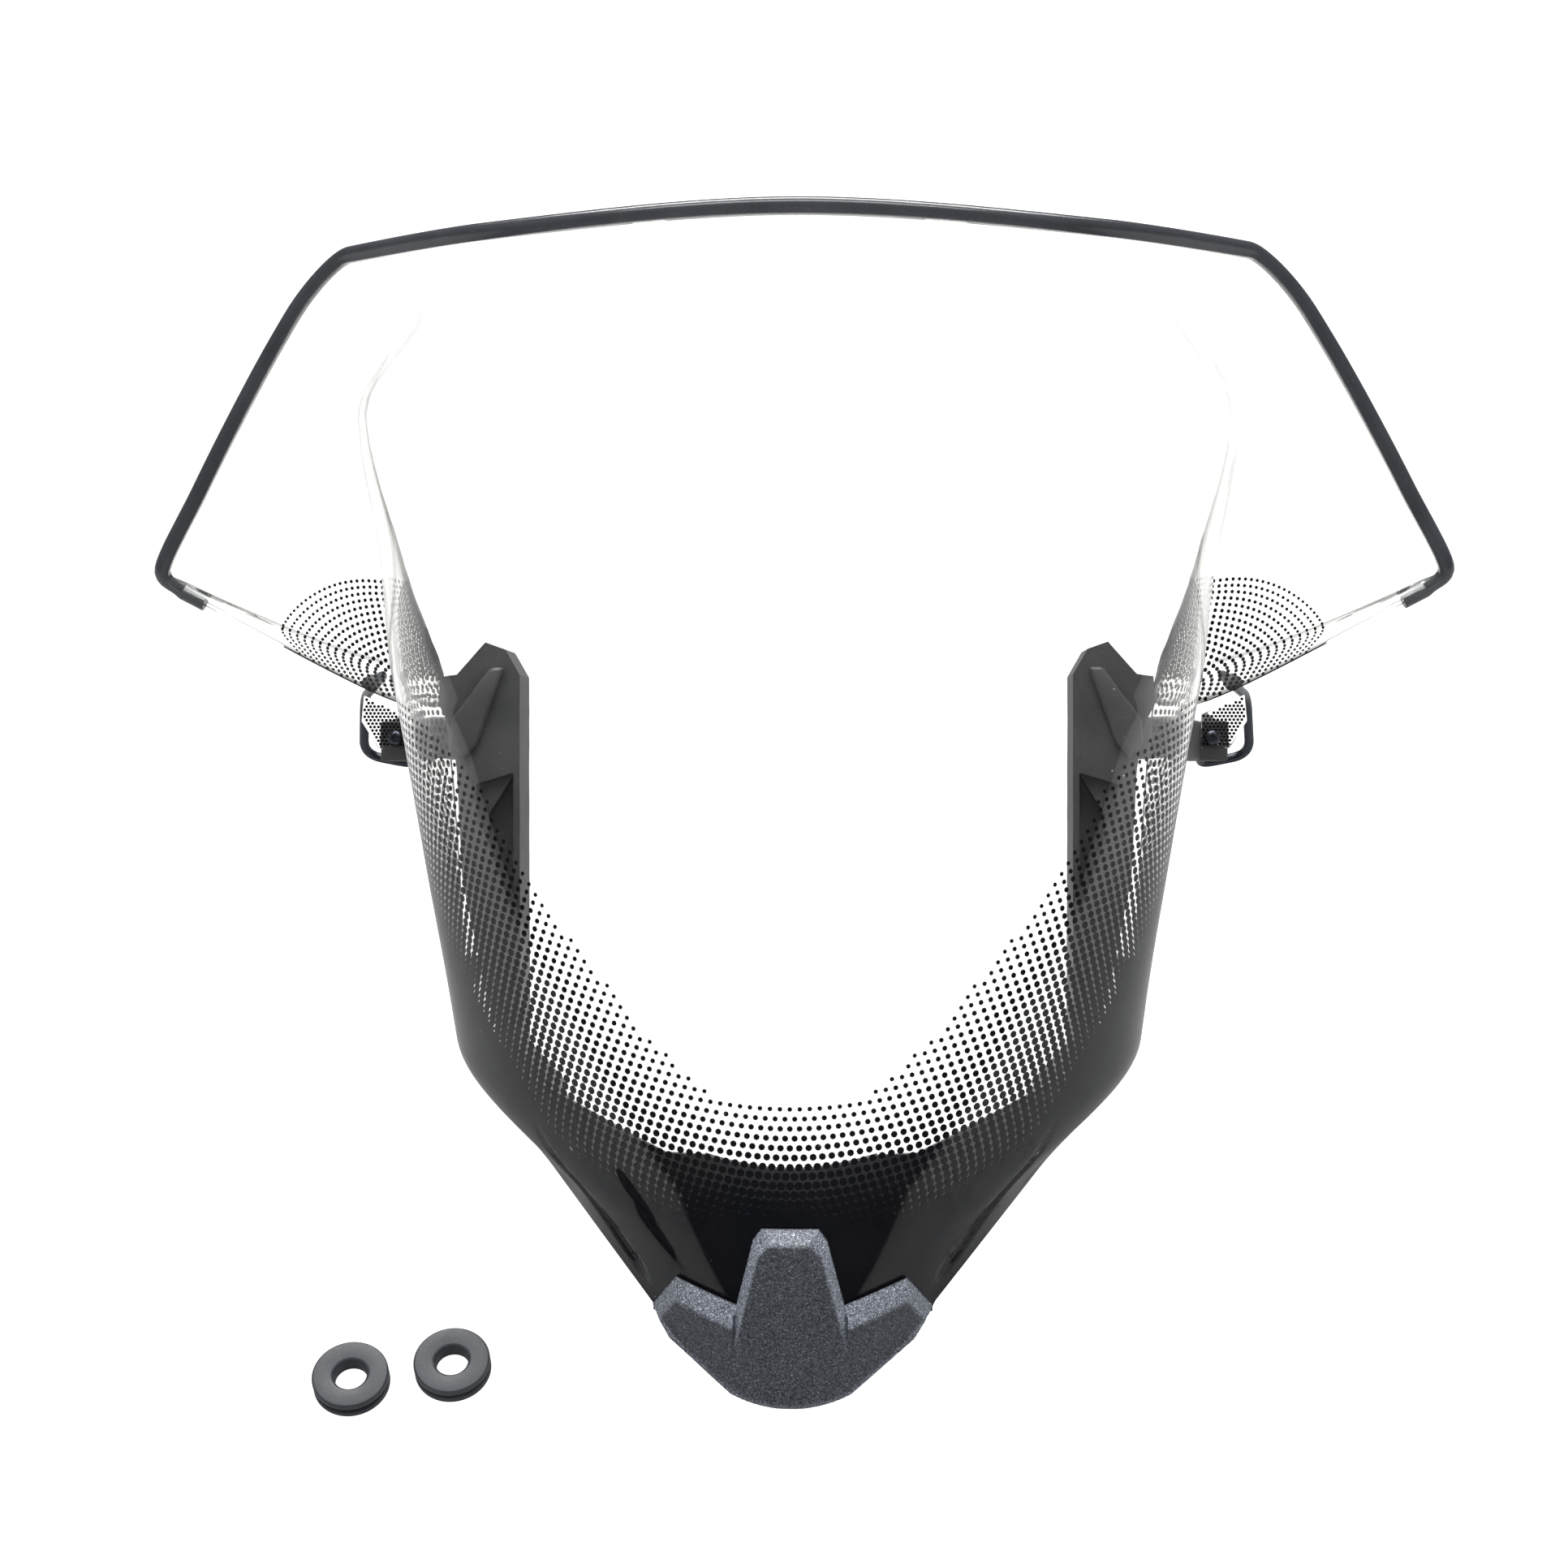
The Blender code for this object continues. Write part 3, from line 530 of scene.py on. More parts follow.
def use_group(n, tree, **values):
    named = {key.replace("_", " ").title(): value for key, value in values.items()}
    return n.add("ShaderNodeGroup", node_tree=tree, inputs=named).outputs


def bump(n, height, strength, distance):
    node = n.add("ShaderNodeBump", inputs={"Height": height, "Strength": strength, "Distance": distance})
    return node.outputs[0]


def moulded_material(name, dark, light, roughness, grain, flecks, dust=0.0, relief=0.00012, speckle=0.0):
    """Moulded plastic or rubber: cloudy colour, grain with painted glints, and dust."""
    material, n, shader, coords = new_material(name)
    surface_grain = use_group(n, GRAIN, coords=coords, grain_size=grain, flecks=flecks)
    colour = n.mix(surface_grain["Cloud"], dark, light)
    if speckle:
        pale = tuple(value * (1 + speckle) for value in light)
        deep = tuple(value / (1 + speckle) for value in dark)
        speckled = n.mix(n.ramp(surface_grain["Height"], 0.40, 0.60), deep, pale)
        colour = n.mix(0.8, colour, speckled)
    # Painted glints: the flecked grains in a much paler colour, as if they caught the light.
    glint_colour = tuple(min(1.0, 4.2 * value + 0.03) for value in light)
    colour = n.mix(surface_grain["Painted Glint"], colour, glint_colour)
    rough = n.math("SUBTRACT", roughness, n.math("MULTIPLY", surface_grain["Painted Glint"], 0.15))
    if dust:
        specks = use_group(n, DUST, coords=coords, speck_spacing=0.006, amount=dust)
        colour = n.mix(specks["Mask"], colour, (0.62, 0.62, 0.60))
        rough = n.math("MAXIMUM", rough, specks["Mask"])
    relief_normal = bump(n, surface_grain["Height"], 0.6, relief)
    n.feed(shader, {"Base Color": colour, "Roughness": rough, "Normal": relief_normal})
    return material


def cap_material():
    """The cap's grain with painted glints, and a painted sheen in a paler colour on its bevels and lower
    edge.
    """
    material = moulded_material(
        "cap_plastic", (0.027, 0.030, 0.035), (0.038, 0.041, 0.048), 0.45, 0.0012, 0.8,
        relief=0.0004, speckle=1.0,
    )
    n = Nodes(material.node_tree)
    shader = material.node_tree.nodes["Principled BSDF"]
    plain = shader.inputs["Base Color"].links[0].from_socket
    # The bevel attribute is a painted sheen: the bevels and lower edge in a paler colour.
    mask = n.add("ShaderNodeAttribute", attribute_name="bevel").outputs["Fac"]
    sheen_colour = n.add("ShaderNodeVectorMath", operation="MULTIPLY", inputs={0: plain, 1: (CAP_SHINE,) * 3})
    n.feed(shader, {"Base Color": n.mix(mask, plain, sheen_colour.outputs[0])})
    return material


def metal_material(name, colour, roughness, metallic):
    """Plated metal with a faint grain."""
    material, n, shader, coords = new_material(name)
    surface_grain = use_group(n, GRAIN, coords=coords, grain_size=0.0009, flecks=0.2)
    clouded = n.mix(surface_grain["Cloud"], colour, tuple(1.5 * value for value in colour))
    rough = n.math("ADD", roughness, n.math("MULTIPLY", surface_grain["Height"], 0.12))
    relief_normal = bump(n, surface_grain["Height"], 0.3, 0.0001)
    n.feed(shader, {"Base Color": clouded, "Roughness": rough, "Normal": relief_normal})
    shader.inputs["Metallic"].default_value = metallic
    return material


def clear_material(name, tint):
    """Clear polycarbonate, with shade painted into its colour where it is bent and along its fold lines.
    Shadows pass through it, as through thin sheet.
    """
    material, n, shader, coords = new_material(name)
    # The bend attribute holds the painted shade of the sheet's bends and fold lines.
    bend = n.add("ShaderNodeAttribute", attribute_name="bend").outputs["Fac"]
    wave = bump(n, n.noise(coords, 22.0, 2.0), 0.15, 0.0008)
    n.feed(shader, {"Base Color": n.mix(bend, tint, BEND_PAINTED_SHADE), "Normal": wave})
    shader.inputs["Roughness"].default_value = 0.015
    shader.inputs["IOR"].default_value = 1.50
    shader.inputs["Transmission Weight"].default_value = 1.0
    passing = n.add("ShaderNodeBsdfTransparent", inputs={"Color": (*tint, 1)}).outputs[0]
    shadow = n.add("ShaderNodeLightPath").outputs["Is Shadow Ray"]
    mixed = n.add("ShaderNodeMixShader", inputs={0: shadow, 1: shader.outputs[0], 2: passing})
    n.feed(material.node_tree.nodes["Material Output"], {"Surface": mixed.outputs[0]})
    return material


def edge_material():
    """The sheet's sawn edge: grey and slightly frosted."""
    material, n, shader, coords = new_material("sheet_edge")
    surface_grain = use_group(n, GRAIN, coords=coords, grain_size=0.0015, flecks=0.3)
    colour = n.mix(surface_grain["Cloud"], (0.16, 0.17, 0.17), (0.30, 0.31, 0.31))
    n.feed(shader, {"Base Color": colour, "Normal": bump(n, surface_grain["Height"], 0.4, 0.0002)})
    shader.inputs["Roughness"].default_value = 0.30
    return material


def print_material():
    """The black print inside the sheet, matt since the shine is the sheet's own, and specked."""
    material, n, shader, coords = new_material("black_print")
    surface_grain = use_group(n, GRAIN, coords=coords, grain_size=0.004, flecks=0.0)
    colour = n.mix(surface_grain["Cloud"], (0.0035, 0.0042, 0.0065), (0.008, 0.0075, 0.009))
    specks = use_group(n, DUST, coords=coords, speck_spacing=0.008, amount=0.5)
    colour = n.mix(specks["Mask"], colour, (0.45, 0.46, 0.48))
    n.feed(shader, {"Base Color": colour, "Normal": bump(n, surface_grain["Height"], 0.25, 0.0003)})
    shader.inputs["Roughness"].default_value = 0.6
    shader.inputs["Specular IOR Level"].default_value = 0.0
    return material


GRAIN = make_grain_group()
DUST = make_dust_group()
# The colour of the painted shade on the sheet's bends and fold lines.
BEND_PAINTED_SHADE = (0.085, 0.083, 0.066)
# How many times paler the painted sheen on the cap's bevels is than its face.
CAP_SHINE = 3.6
EDGE = edge_material()
CLEAR = clear_material("clear_sheet", (0.960, 0.962, 0.945))
PRINT = print_material()
TRIM_RUBBER = moulded_material(
    "trim_rubber", (0.034, 0.036, 0.041), (0.052, 0.055, 0.062), 0.24, 0.0007, 0.1
)
TRIM_SHADER = TRIM_RUBBER.node_tree.nodes["Principled BSDF"]
TRIM_SHADER.inputs["Coat Weight"].default_value = 0.7
TRIM_SHADER.inputs["Coat Roughness"].default_value = 0.16
CAP_PLASTIC = cap_material()
FRAME_PLASTIC = moulded_material(
    "frame_plastic", (0.034, 0.034, 0.035), (0.056, 0.056, 0.057), 0.42, 0.0009, 0.1, dust=1.0
)
SOFT_RUBBER = moulded_material(
    "soft_rubber", (0.024, 0.026, 0.031), (0.040, 0.043, 0.050), 0.36, 0.0008, 0.25, dust=0.5
)
BLACK_RUBBER = moulded_material(
    "black_rubber", (0.012, 0.012, 0.013), (0.020, 0.020, 0.022), 0.55, 0.0008, 0.0
)
WIRE_STEEL = metal_material("wire_steel", (0.060, 0.066, 0.078), 0.22, 0.85)
ZINC = metal_material("zinc_steel", (0.36, 0.36, 0.38), 0.28, 1.0)


# The screen and its print


# The painted shade on a bend of the sheet starts at the first of these and is darkest at the
# second, in radians a metre.
BEND_LIGHT = 16
BEND_FULL = 70
# The painted shade of the bends shows from the first of these levels to the second.
BENDS_START = 2.8
FOLD_END = 6.95
# How dark the painted shade lines are along the wing's rib, its lower edge and the fold.
RIB_SHADE = 0.55
EDGE_SHADE = 0.8
FOLD_SHADE = 0.9


def bend_shade(t, c):
    """How much painted shade the sheet gets at the columns of the row at level t, from 0 to 1."""
    places, normals = surface(np.full(len(c), t), c)
    turn = np.linalg.norm(np.diff(normals, axis=0), axis=1)
    tight = turn / np.maximum(np.linalg.norm(np.diff(places, axis=0), axis=1), 1e-6)
    tight = np.concatenate([tight[:1], np.maximum(tight[1:], tight[:-1]), tight[-1:]])
    fade = min(1.0, max(0.0, (t - BENDS_START) / 0.4)) * min(1.0, max(0.0, (FOLD_END - t) / 0.15))
    bent = np.clip((tight - BEND_LIGHT) / (BEND_FULL - BEND_LIGHT), 0, 1) * fade
    reach = np.abs(c)
    over_wing = np.clip((reach - 1.30) / 0.10, 0, 1) * np.clip((1.98 - reach) / 0.04, 0, 1)
    line = RIB_SHADE * over_wing * math.exp(-(((t - CREASE_LEVEL) / 0.05) ** 2))
    if t < ROOT + 0.12:
        line = line + EDGE_SHADE * np.clip((reach - 1.0) / 0.05, 0, 1)
    if t > ROOT - 0.1:
        line = line + FOLD_SHADE * np.exp(-(((reach - 1.0) / 0.018) ** 2)) * fade
    return bent + np.clip(line, 0, 1 - bent)


def build_sheet():
    """The clear sheet, with the painted shade of its bends marked in an attribute and its own finish on its
    rim.
    """
    rows = row_levels()
    c_rows = []
    for t in rows:
        half = np.array(columns_at(t))
        c_rows.append(np.concatenate([-half[:0:-1], half]))
    form = skin(rows, c_rows, 0.0)
    # The bend attribute carries painted shade, darkest on the bends and fold lines.
    bend = form.verts.layers.float.new("bend")
    form.verts.ensure_lookup_table()
    start = 0
    for t, c in zip(rows, c_rows):
        for k, value in enumerate(bend_shade(t, c)):
            form.verts[start + k][bend] = float(value)
        start += len(c)
    mesh = thick(form, "clear_sheet", SHEET_T, rim=1)
    mesh.materials.clear()
    mesh.materials.append(CLEAR)
    mesh.materials.append(EDGE)
    piece("clear_sheet", mesh, None, replaces=["windshield_screen"], smooth=40)


FILM_GAP = 0.00015
# The print lies just inside the sheet's inner face, so nothing shines between them.
FILM_SETBACK = SHEET_T - 0.00045
FILM_T = 0.00012
DOT_PITCH = 0.0057
DOT_LARGEST = 0.0031
DOT_SMALLEST = 0.0011
# The level where the solid print ends, and where its dots have faded out, at columns c.
SOLID_LIMIT = [
    (0, 1.78), (0.12, 1.70), (0.32, 1.30), (0.48, 1.80), (0.58, 2.30), (0.66, 2.58), (0.8, 2.75),
    (1.0, 2.85),
]
DOTS_LIMIT = [
    (0, 2.50), (0.13, 2.50), (0.23, 2.68), (0.38, 3.16), (0.46, 3.58), (0.55, 3.80), (0.75, 3.98),
    (1.0, 4.05),
]
PRINT_START = 0.03
PRINT_ROWS = 72


def limit_at(limits, c):
    return np.interp(np.abs(c), [point[0] for point in limits], [point[1] for point in limits])


def build_print():
    """The solid black film on the inside of the lower sheet."""
    columns = np.linspace(-1, 1, 121)
    top = limit_at(SOLID_LIMIT, columns)
    t_rows = [PRINT_START + (top - PRINT_START) * k / PRINT_ROWS for k in range(PRINT_ROWS + 1)]
    form = skin(t_rows, [columns * 0.997] * len(t_rows), FILM_SETBACK)
    piece("print_band", thick(form, "print_band", FILM_T), PRINT, smooth=40)


def dots_tree():
    """A node tree that stands a thin round dot on each point, by its own size and facing."""
    tree = bpy.data.node_groups.new("printed_dots", "GeometryNodeTree")
    inputs = {"Points": "Geometry", "Dot Sides": "Int", "Film Thickness": "Float", "Finish": "Material"}
    for label, kind in inputs.items():
        tree.interface.new_socket(name=label, in_out="INPUT", socket_type=f"NodeSocket{kind}")
    tree.interface.new_socket(name="Dots", in_out="OUTPUT", socket_type="NodeSocketGeometry")
    n = Nodes(tree)
    given = n.add("NodeGroupInput").outputs
    out = n.add("NodeGroupOutput").inputs
    unit_disc = {"Vertices": given["Dot Sides"], "Radius": 1.0, "Depth": 1.0}
    disc = n.add("GeometryNodeMeshCylinder", inputs=unit_disc)
    attribute = "GeometryNodeInputNamedAttribute"
    radius = n.add(attribute, data_type="FLOAT", inputs={"Name": "dot_radius"}).outputs["Attribute"]
    facing = n.add(attribute, data_type="FLOAT_VECTOR", inputs={"Name": "facing"}).outputs["Attribute"]
    scale = n.add("ShaderNodeCombineXYZ", inputs={0: radius, 1: radius, 2: given["Film Thickness"]})
    turn = n.add("FunctionNodeAlignRotationToVector", axis="Z", inputs={"Vector": facing})
    stand = n.add(
        "GeometryNodeInstanceOnPoints",
        inputs={"Points": given["Points"], "Instance": disc.outputs["Mesh"],
                "Rotation": turn.outputs[0], "Scale": scale.outputs[0]},
    )
    real = n.add("GeometryNodeRealizeInstances", inputs={"Geometry": stand.outputs[0]})
    finished = {"Geometry": real.outputs[0], "Material": given["Finish"]}
    finish = n.add("GeometryNodeSetMaterial", inputs=finished)
    n.tree.links.new(finish.outputs[0], out["Dots"])
    return tree


def build_dots(name, places, normals, radii, sides=8):
    """Printed dots, one on each place, as one piece."""
    mesh = bpy.data.meshes.new(name)
    mesh.from_pydata([tuple(place) for place in places], [], [])
    facing = mesh.attributes.new("facing", "FLOAT_VECTOR", "POINT")
    facing.data.foreach_set("vector", np.asarray(normals, np.float32).ravel())
    size = mesh.attributes.new("dot_radius", "FLOAT", "POINT")
    size.data.foreach_set("value", np.asarray(radii, np.float32))
    obj = working(name, mesh)
    modifier = obj.modifiers.new("dots", "NODES")
    modifier.node_group = DOTS_TREE
    values = {"Dot Sides": sides, "Film Thickness": FILM_T, "Finish": PRINT}
    for item in DOTS_TREE.interface.items_tree:
        if item.item_type == "SOCKET" and item.in_out == "INPUT" and item.name in values:
            modifier[item.identifier] = values[item.name]
    made = settled(obj, name)
    for attribute in ("facing", "dot_radius"):
        if attribute in made.attributes:
            made.attributes.remove(made.attributes[attribute])
    piece(name, made, PRINT, smooth=30)


def spaced_columns(pitch, shift, t=2.8):
    """Columns of the right half, a pitch apart along the row at t."""
    c = np.linspace(0, 1, 161)
    places = right_places(np.full(len(c), t), c)
    run = run_along(places)
    stops = np.arange(shift * pitch, run[-1] - 0.002, pitch)
    return np.interp(stops, run, c)


def body_dots():
    """Levels, signed columns and radii of the staggered dots on the body."""
    t = np.linspace(1.1, 4.05, 400)
    middle = right_places(t, np.full(len(t), 0.30))
    run = run_along(middle)
    levels = np.interp(np.arange(0, run[-1], DOT_PITCH * math.sin(math.pi / 3)), run, t)
    found = []
    for k, level in enumerate(levels):
        for c in spaced_columns(DOT_PITCH, 0.5 * (k % 2)):
            solid = float(limit_at(SOLID_LIMIT, c))
            faded = float(limit_at(DOTS_LIMIT, c))
            f = (level - solid) / (faded - solid)
            if not -0.04 < f < 1:
                continue
            radius = DOT_SMALLEST + (DOT_LARGEST - DOT_SMALLEST) * (1 - max(f, 0)) ** 0.8
            found.append((level, c, radius))
            if c > 0:
                found.append((level, -c, radius))
    return np.array(found)


FAN_CENTRE = (4.14, 1.10)
FAN_RADIUS = 0.064
# The spaces between the fan's rings and between the dots of a ring.
FAN_RING = 0.0029
FAN_STEP = 0.0031
# The place (t, c) where its dots are largest, and the level that it stops at.
FAN_DARK = (4.0, 1.0)
FAN_LOWEST = 3.85
FAN_LARGEST = 0.0017
FAN_SHRINK = 0.0008
# How much further it reaches out along the wing than in along the body.
FAN_STRETCH = 1.65


def fan_dots():
    """Levels, columns and radii of the rings of dots that fan out over the wing's root."""
    t0, c0 = FAN_CENTRE
    t = np.linspace(ROOT - 0.6, ROOT + 3, 300)
    c = np.linspace(0.3, 2, 300)
    down_t = right_places(t, np.full(len(t), c0))
    over_c = right_places(np.full(len(c), t0), c)
    run_t = run_along(down_t)
    run_c = run_along(over_c)
    start_t = np.interp(t0, t, run_t)
    start_c = np.interp(c0, c, run_c)
    dark = right_places(np.array([FAN_DARK[0]]), np.array([FAN_DARK[1]]))[0]
    found = []
    for ring in range(1, int(FAN_RADIUS / FAN_RING) + 1):
        radius = ring * FAN_RING
        count = max(6, round(2 * math.pi * radius / FAN_STEP))
        for k in range(count):
            turn = 2 * math.pi * (k + 0.5 * (ring % 2)) / count
            level = float(np.interp(start_t + radius * math.sin(turn), run_t, t))
            over = radius * math.cos(turn)
            over *= FAN_STRETCH if over > 0 else 1.0
            column = float(np.interp(start_c + over, run_c, c))
            off_wing = level < ROOT + 0.04 and column > 0.985
            if off_wing or level < FAN_LOWEST:
                continue
            place = right_places(np.array([level]), np.array([column]))[0]
            near = np.linalg.norm(place - dark)
            size = FAN_LARGEST - FAN_SHRINK * min(1, near / 0.100)
            found.append((level, column, size))
    return np.array(found)


def build_all_dots():
    """Each side's body dots and fan. The middle column goes with the right side."""
    spots = body_dots()
    fan = fan_dots()
    for side, sign in SIDES:
        mine = spots[spots[:, 1] < 0] if sign < 0 else spots[spots[:, 1] >= 0]
        places, normals = surface(mine[:, 0], mine[:, 1], FILM_SETBACK)
        build_dots(f"print_dots_{side}", places, normals, mine[:, 2])
        places, normals = surface(fan[:, 0], fan[:, 1] * sign, FILM_SETBACK)
        build_dots(f"fan_dots_{side}", places, normals, fan[:, 2], sides=7)


# The trim

# The bulb's middle, how far it lies outside the sheet's edge, and the lip round the sheet.
BULB_SHIFT = -0.0006
TRIM_LIP = [(0.0034, -0.0029), (0.0046, -0.0025), (0.0048, -0.0017)]
# The column where the trim ends, a little way in along the wing's lower edge.
TRIM_TAIL = 1.95


def build_trim():
    """The rubber edge: a round bulb and the two lips that grip the sheet."""
    half = columns_at(TOP, 44, 26)
    path = [(float(TOP), c) for c in half]
    levels = [t for t in row_levels([1, 1, 1, 1, 6, 10, 14, 26]) if t >= ROOT]
    path += [(t, 1 + corner_scale(t)) for t in levels[-2::-1]]
    t = np.array([spot[0] for spot in path])
    c = np.array([spot[1] for spot in path])
    normals = right_normals(t, c)
    normals[0, 0] = 0
    middles = right_places(t, c) - normals * (SHEET_T / 2)
    tail_t = np.array([float(ROOT)])
    tail_c = np.array([TRIM_TAIL])
    tail_normal = right_normals(tail_t, tail_c)
    middles = np.vstack([middles, right_places(tail_t, tail_c) - tail_normal * (SHEET_T / 2)])
    normals = np.vstack([normals, tail_normal])
    section = arc_points((BULB_SHIFT, 0), TRIM_R, 50, 310, 17) + TRIM_LIP
    section += [(along, -out) for along, out in TRIM_LIP[::-1]]
    form = bmesh.new()
    rings = []
    for k in range(len(middles)):
        ahead = middles[min(k + 1, len(middles) - 1)] - middles[max(k - 1, 0)]
        if k == 0:
            ahead = np.array([1.0, 0, 0])
        # The face-plane coordinates are left-handed, so this cross product points inwards.
        inward = np.cross(normals[k], ahead)
        inward /= np.linalg.norm(inward)
        ring = [middles[k] + inward * along + normals[k] * out for along, out in section]
        rings.append([form.verts.new(place) for place in to_world(ring)])
    for a, b in zip(rings, rings[1:]):
        join_rings(form, a, b)
    form.faces.new(rings[-1])
    for corner in rings[0]:
        corner.co.x = 0
    bmesh.ops.recalc_face_normals(form, faces=form.faces)
    obj = working("edge_bulb", mesh_of(form, "edge_bulb"))
    halves = obj.modifiers.new("halves", "MIRROR")
    halves.merge_threshold = 0.00005
    mesh = settled(obj, "edge_bulb")
    piece("edge_bulb", mesh, TRIM_RUBBER, replaces=["edge_trim"], smooth=45)


# The nose cap

CAP_T = 0.009
CAP_GAP = 0.0012
CAP_OUTLINE = [
    (0.0146, 0.095), (0.0190, 0.089), (0.0278, 0.0545), (0.0600, 0.0660), (0.0740, 0.0470),
    (0.0640, 0.0330), (0.0310, 0.0078),
]
CAP_CHIN = [(0.0310, 0.0078), (0.0210, 0.0035), (0.0110, 0.0015), (0.0, 0.0015)]
# How wide the bevel is along the tongue's end, its side, a notch, and a tip.
CAP_BEVELS = (0.0085, 0.0056, 0.0130, 0.0080)
CAP_DART = [(0.0146, 0.0850), (0.0292, 0.0285)]
CAP_DART_WIDTH = 0.0062
CAP_BEVEL_DROP = 0.0078
CAP_LIP = 0.0016
CAP_CELL = 0.0009


def face_tree():
    """The nose's outer face, as a tree that answers how deep it lies under (x, up)."""
    t, c = np.meshgrid(np.linspace(-0.29, 2.3, 80), np.linspace(0, 1, 90), indexing="ij")
    places = right_places(t.ravel(), c.ravel())
    mirror = places * np.array([-1, 1, 1])
    faces = []
    for i in range(79):
        for j in range(89):
            a = i * 90 + j
            faces.append((a, a + 1, a + 91, a + 90))
    both = faces + [tuple(k + len(places) for k in face) for face in faces]
    return BVHTree.FromPolygons([Vector(p) for p in np.vstack([places, mirror])], both)


def away_from(edges, x, up):
    """The distance from (x, up) to the nearest of the edges."""
    nearest = 1.0
    for (x0, up0), (x1, up1) in edges:
        run = (x1 - x0, up1 - up0)
        along = ((x - x0) * run[0] + (up - up0) * run[1]) / (run[0] ** 2 + run[1] ** 2)
        along = min(1.0, max(0.0, along))
        nearest = min(nearest, math.hypot(x - x0 - along * run[0], up - up0 - along * run[1]))
    return nearest


def cap_relief(x, up, lower_edges):
    """How far the cap's face is lowered at (x, up), and how much painted sheen it has there."""
    tongue_end = [((0, 0.095), CAP_OUTLINE[0]), (CAP_OUTLINE[0], CAP_OUTLINE[1])]
    notch, tip = zip(CAP_OUTLINE[2:4], CAP_OUTLINE[3:5])
    # Each side bevel of the tongue runs on below its notch and narrows to a point.
    (x0, up0), (x1, up1) = CAP_DART
    notch_up = CAP_OUTLINE[2][1]
    over = x - (x0 + (x1 - x0) * (up0 - up) / (up0 - up1))
    wide = CAP_DART_WIDTH * (up - up1) / (notch_up - up1)
    f = min(1.0, away_from(tongue_end, x, up) / CAP_BEVELS[0])
    if up > up1 and 0 < over and (over < wide or up > notch_up + 0.012):
        f = min(f, max(0.0, 1 - over / CAP_BEVELS[1]))
    elif over > 0:
        f = min(f, away_from([notch], x, up) / CAP_BEVELS[2])
        f = min(f, away_from([tip], x, up) / CAP_BEVELS[3])
    low = away_from(lower_edges, x, up)
    lowered = CAP_BEVEL_DROP * (1 - f) + CAP_LIP * (1 - min(1.0, low / 0.0022)) ** 2
    # Painted sheen: the bevels and a band along the lower edges are made paler.
    painted_sheen = max(min(1.0, 5.0 * (1 - f)), 0.9 * (1 - min(1.0, low / 0.0026)))
    return lowered, painted_sheen


def depth_under(tree, x, up):
    """The nose's depth under (x, up), or under the nearest place inwards that has one."""
    for reach_in in (1.0, 0.98, 0.96, 0.94, 0.92):
        hit = tree.ray_cast(Vector((x * reach_in, up, -1)), Vector((0, 0, 1)))[0]
        if hit is not None:
            return hit.z
    return None


def build_cap():
    """The three-pointed cap: bevelled along its tongue, its notches and its tips."""
    tree = face_tree()
    ends = [np.array([point]) for point in CAP_CHIN]
    chin = [(float(x), float(up)) for x, up in bezier(*ends, np.arange(1, 14) / 14)]
    low_line = CAP_OUTLINE[4:] + chin + [CAP_CHIN[-1]]
    lower_edges = list(zip(low_line, low_line[1:]))
    form = bmesh.new()
    shine = form.verts.layers.float.new("bevel")
    columns = round(0.078 / CAP_CELL)
    rows = round(0.102 / CAP_CELL)
    grid = {}
    for i in range(-columns, columns + 1):
        for j in range(rows + 1):
            x, up = i * CAP_CELL, -0.003 + j * CAP_CELL
            depth = depth_under(tree, x, up)
            if depth is None:
                continue
            lowered, painted_sheen = cap_relief(abs(x), up, lower_edges)
            front = form.verts.new(at(x, up, depth - CAP_GAP - CAP_T + lowered))
            front[shine] = painted_sheen
            grid[i, j] = (front, form.verts.new(at(x, up, depth - CAP_GAP)))
    border = {}
    for i, j in list(grid):
        corners = [(i, j), (i + 1, j), (i + 1, j + 1), (i, j + 1)]
        if not all(corner in grid for corner in corners):
            continue
        form.faces.new([grid[corner][0] for corner in corners])
        form.faces.new([grid[corner][1] for corner in corners[::-1]])
        for a, b in zip(corners, corners[1:] + corners[:1]):
            if (b, a) in border:
                del border[b, a]
            else:
                border[a, b] = True
    for a, b in border:
        form.faces.new((grid[b][0], grid[a][0], grid[a][1], grid[b][1]))
    loose = [v for v in form.verts if not v.link_faces]
    bmesh.ops.delete(form, geom=loose, context="VERTS")
    bmesh.ops.recalc_face_normals(form, faces=form.faces)
    obj = working("nose_cap_shell", mesh_of(form, "nose_cap_shell"))
    outline = both_halves(CAP_OUTLINE + chin)
    cut(obj, mesh_of(prism_form(outline, -0.06, 0.12), "outline"), "INTERSECT")
    mesh = settled(obj, "nose_cap_shell")
    piece("nose_cap_shell", mesh, CAP_PLASTIC, replaces=["nose_cap"], smooth=28)


# The yoke: bridge, arms, blades and brackets

BRIDGE_SETBACK = 0.010
BRIDGE_T = 0.004
BRIDGE_TOP = [(0.0405, 0.1345), (0.0445, 0.1305), (0.065, 0.1305), (0.148, 0.168)]
BRIDGE_LOWER = [(0.152, 0.120), (0.110, 0.074), (0.050, 0.062)]


def frame_piece(obj, node, smooth=32):
    """The object as a finished piece of the yoke, in place of its CAD node."""
    name = obj.name
    mesh = settled(obj, name)
    piece(name, mesh, FRAME_PLASTIC, replaces=[node], smooth=smooth)


def build_bridge():
    """The curved plate behind the print, cut to its outline."""
    t_rows = [0.7 + 0.05 * k for k in range(31)]
    columns = np.linspace(-0.88, 0.88, 111)
    form = skin(t_rows, [columns] * len(t_rows), SHEET_T + BRIDGE_SETBACK)
    obj = working("yoke_bridge", thick(form, "yoke_bridge", BRIDGE_T))
    outline = both_halves(BRIDGE_TOP + BRIDGE_LOWER)
    cut(obj, mesh_of(prism_form(outline, -0.05, 0.20), "outline"), "INTERSECT")
    frame_piece(obj, "frame_bridge", 35)


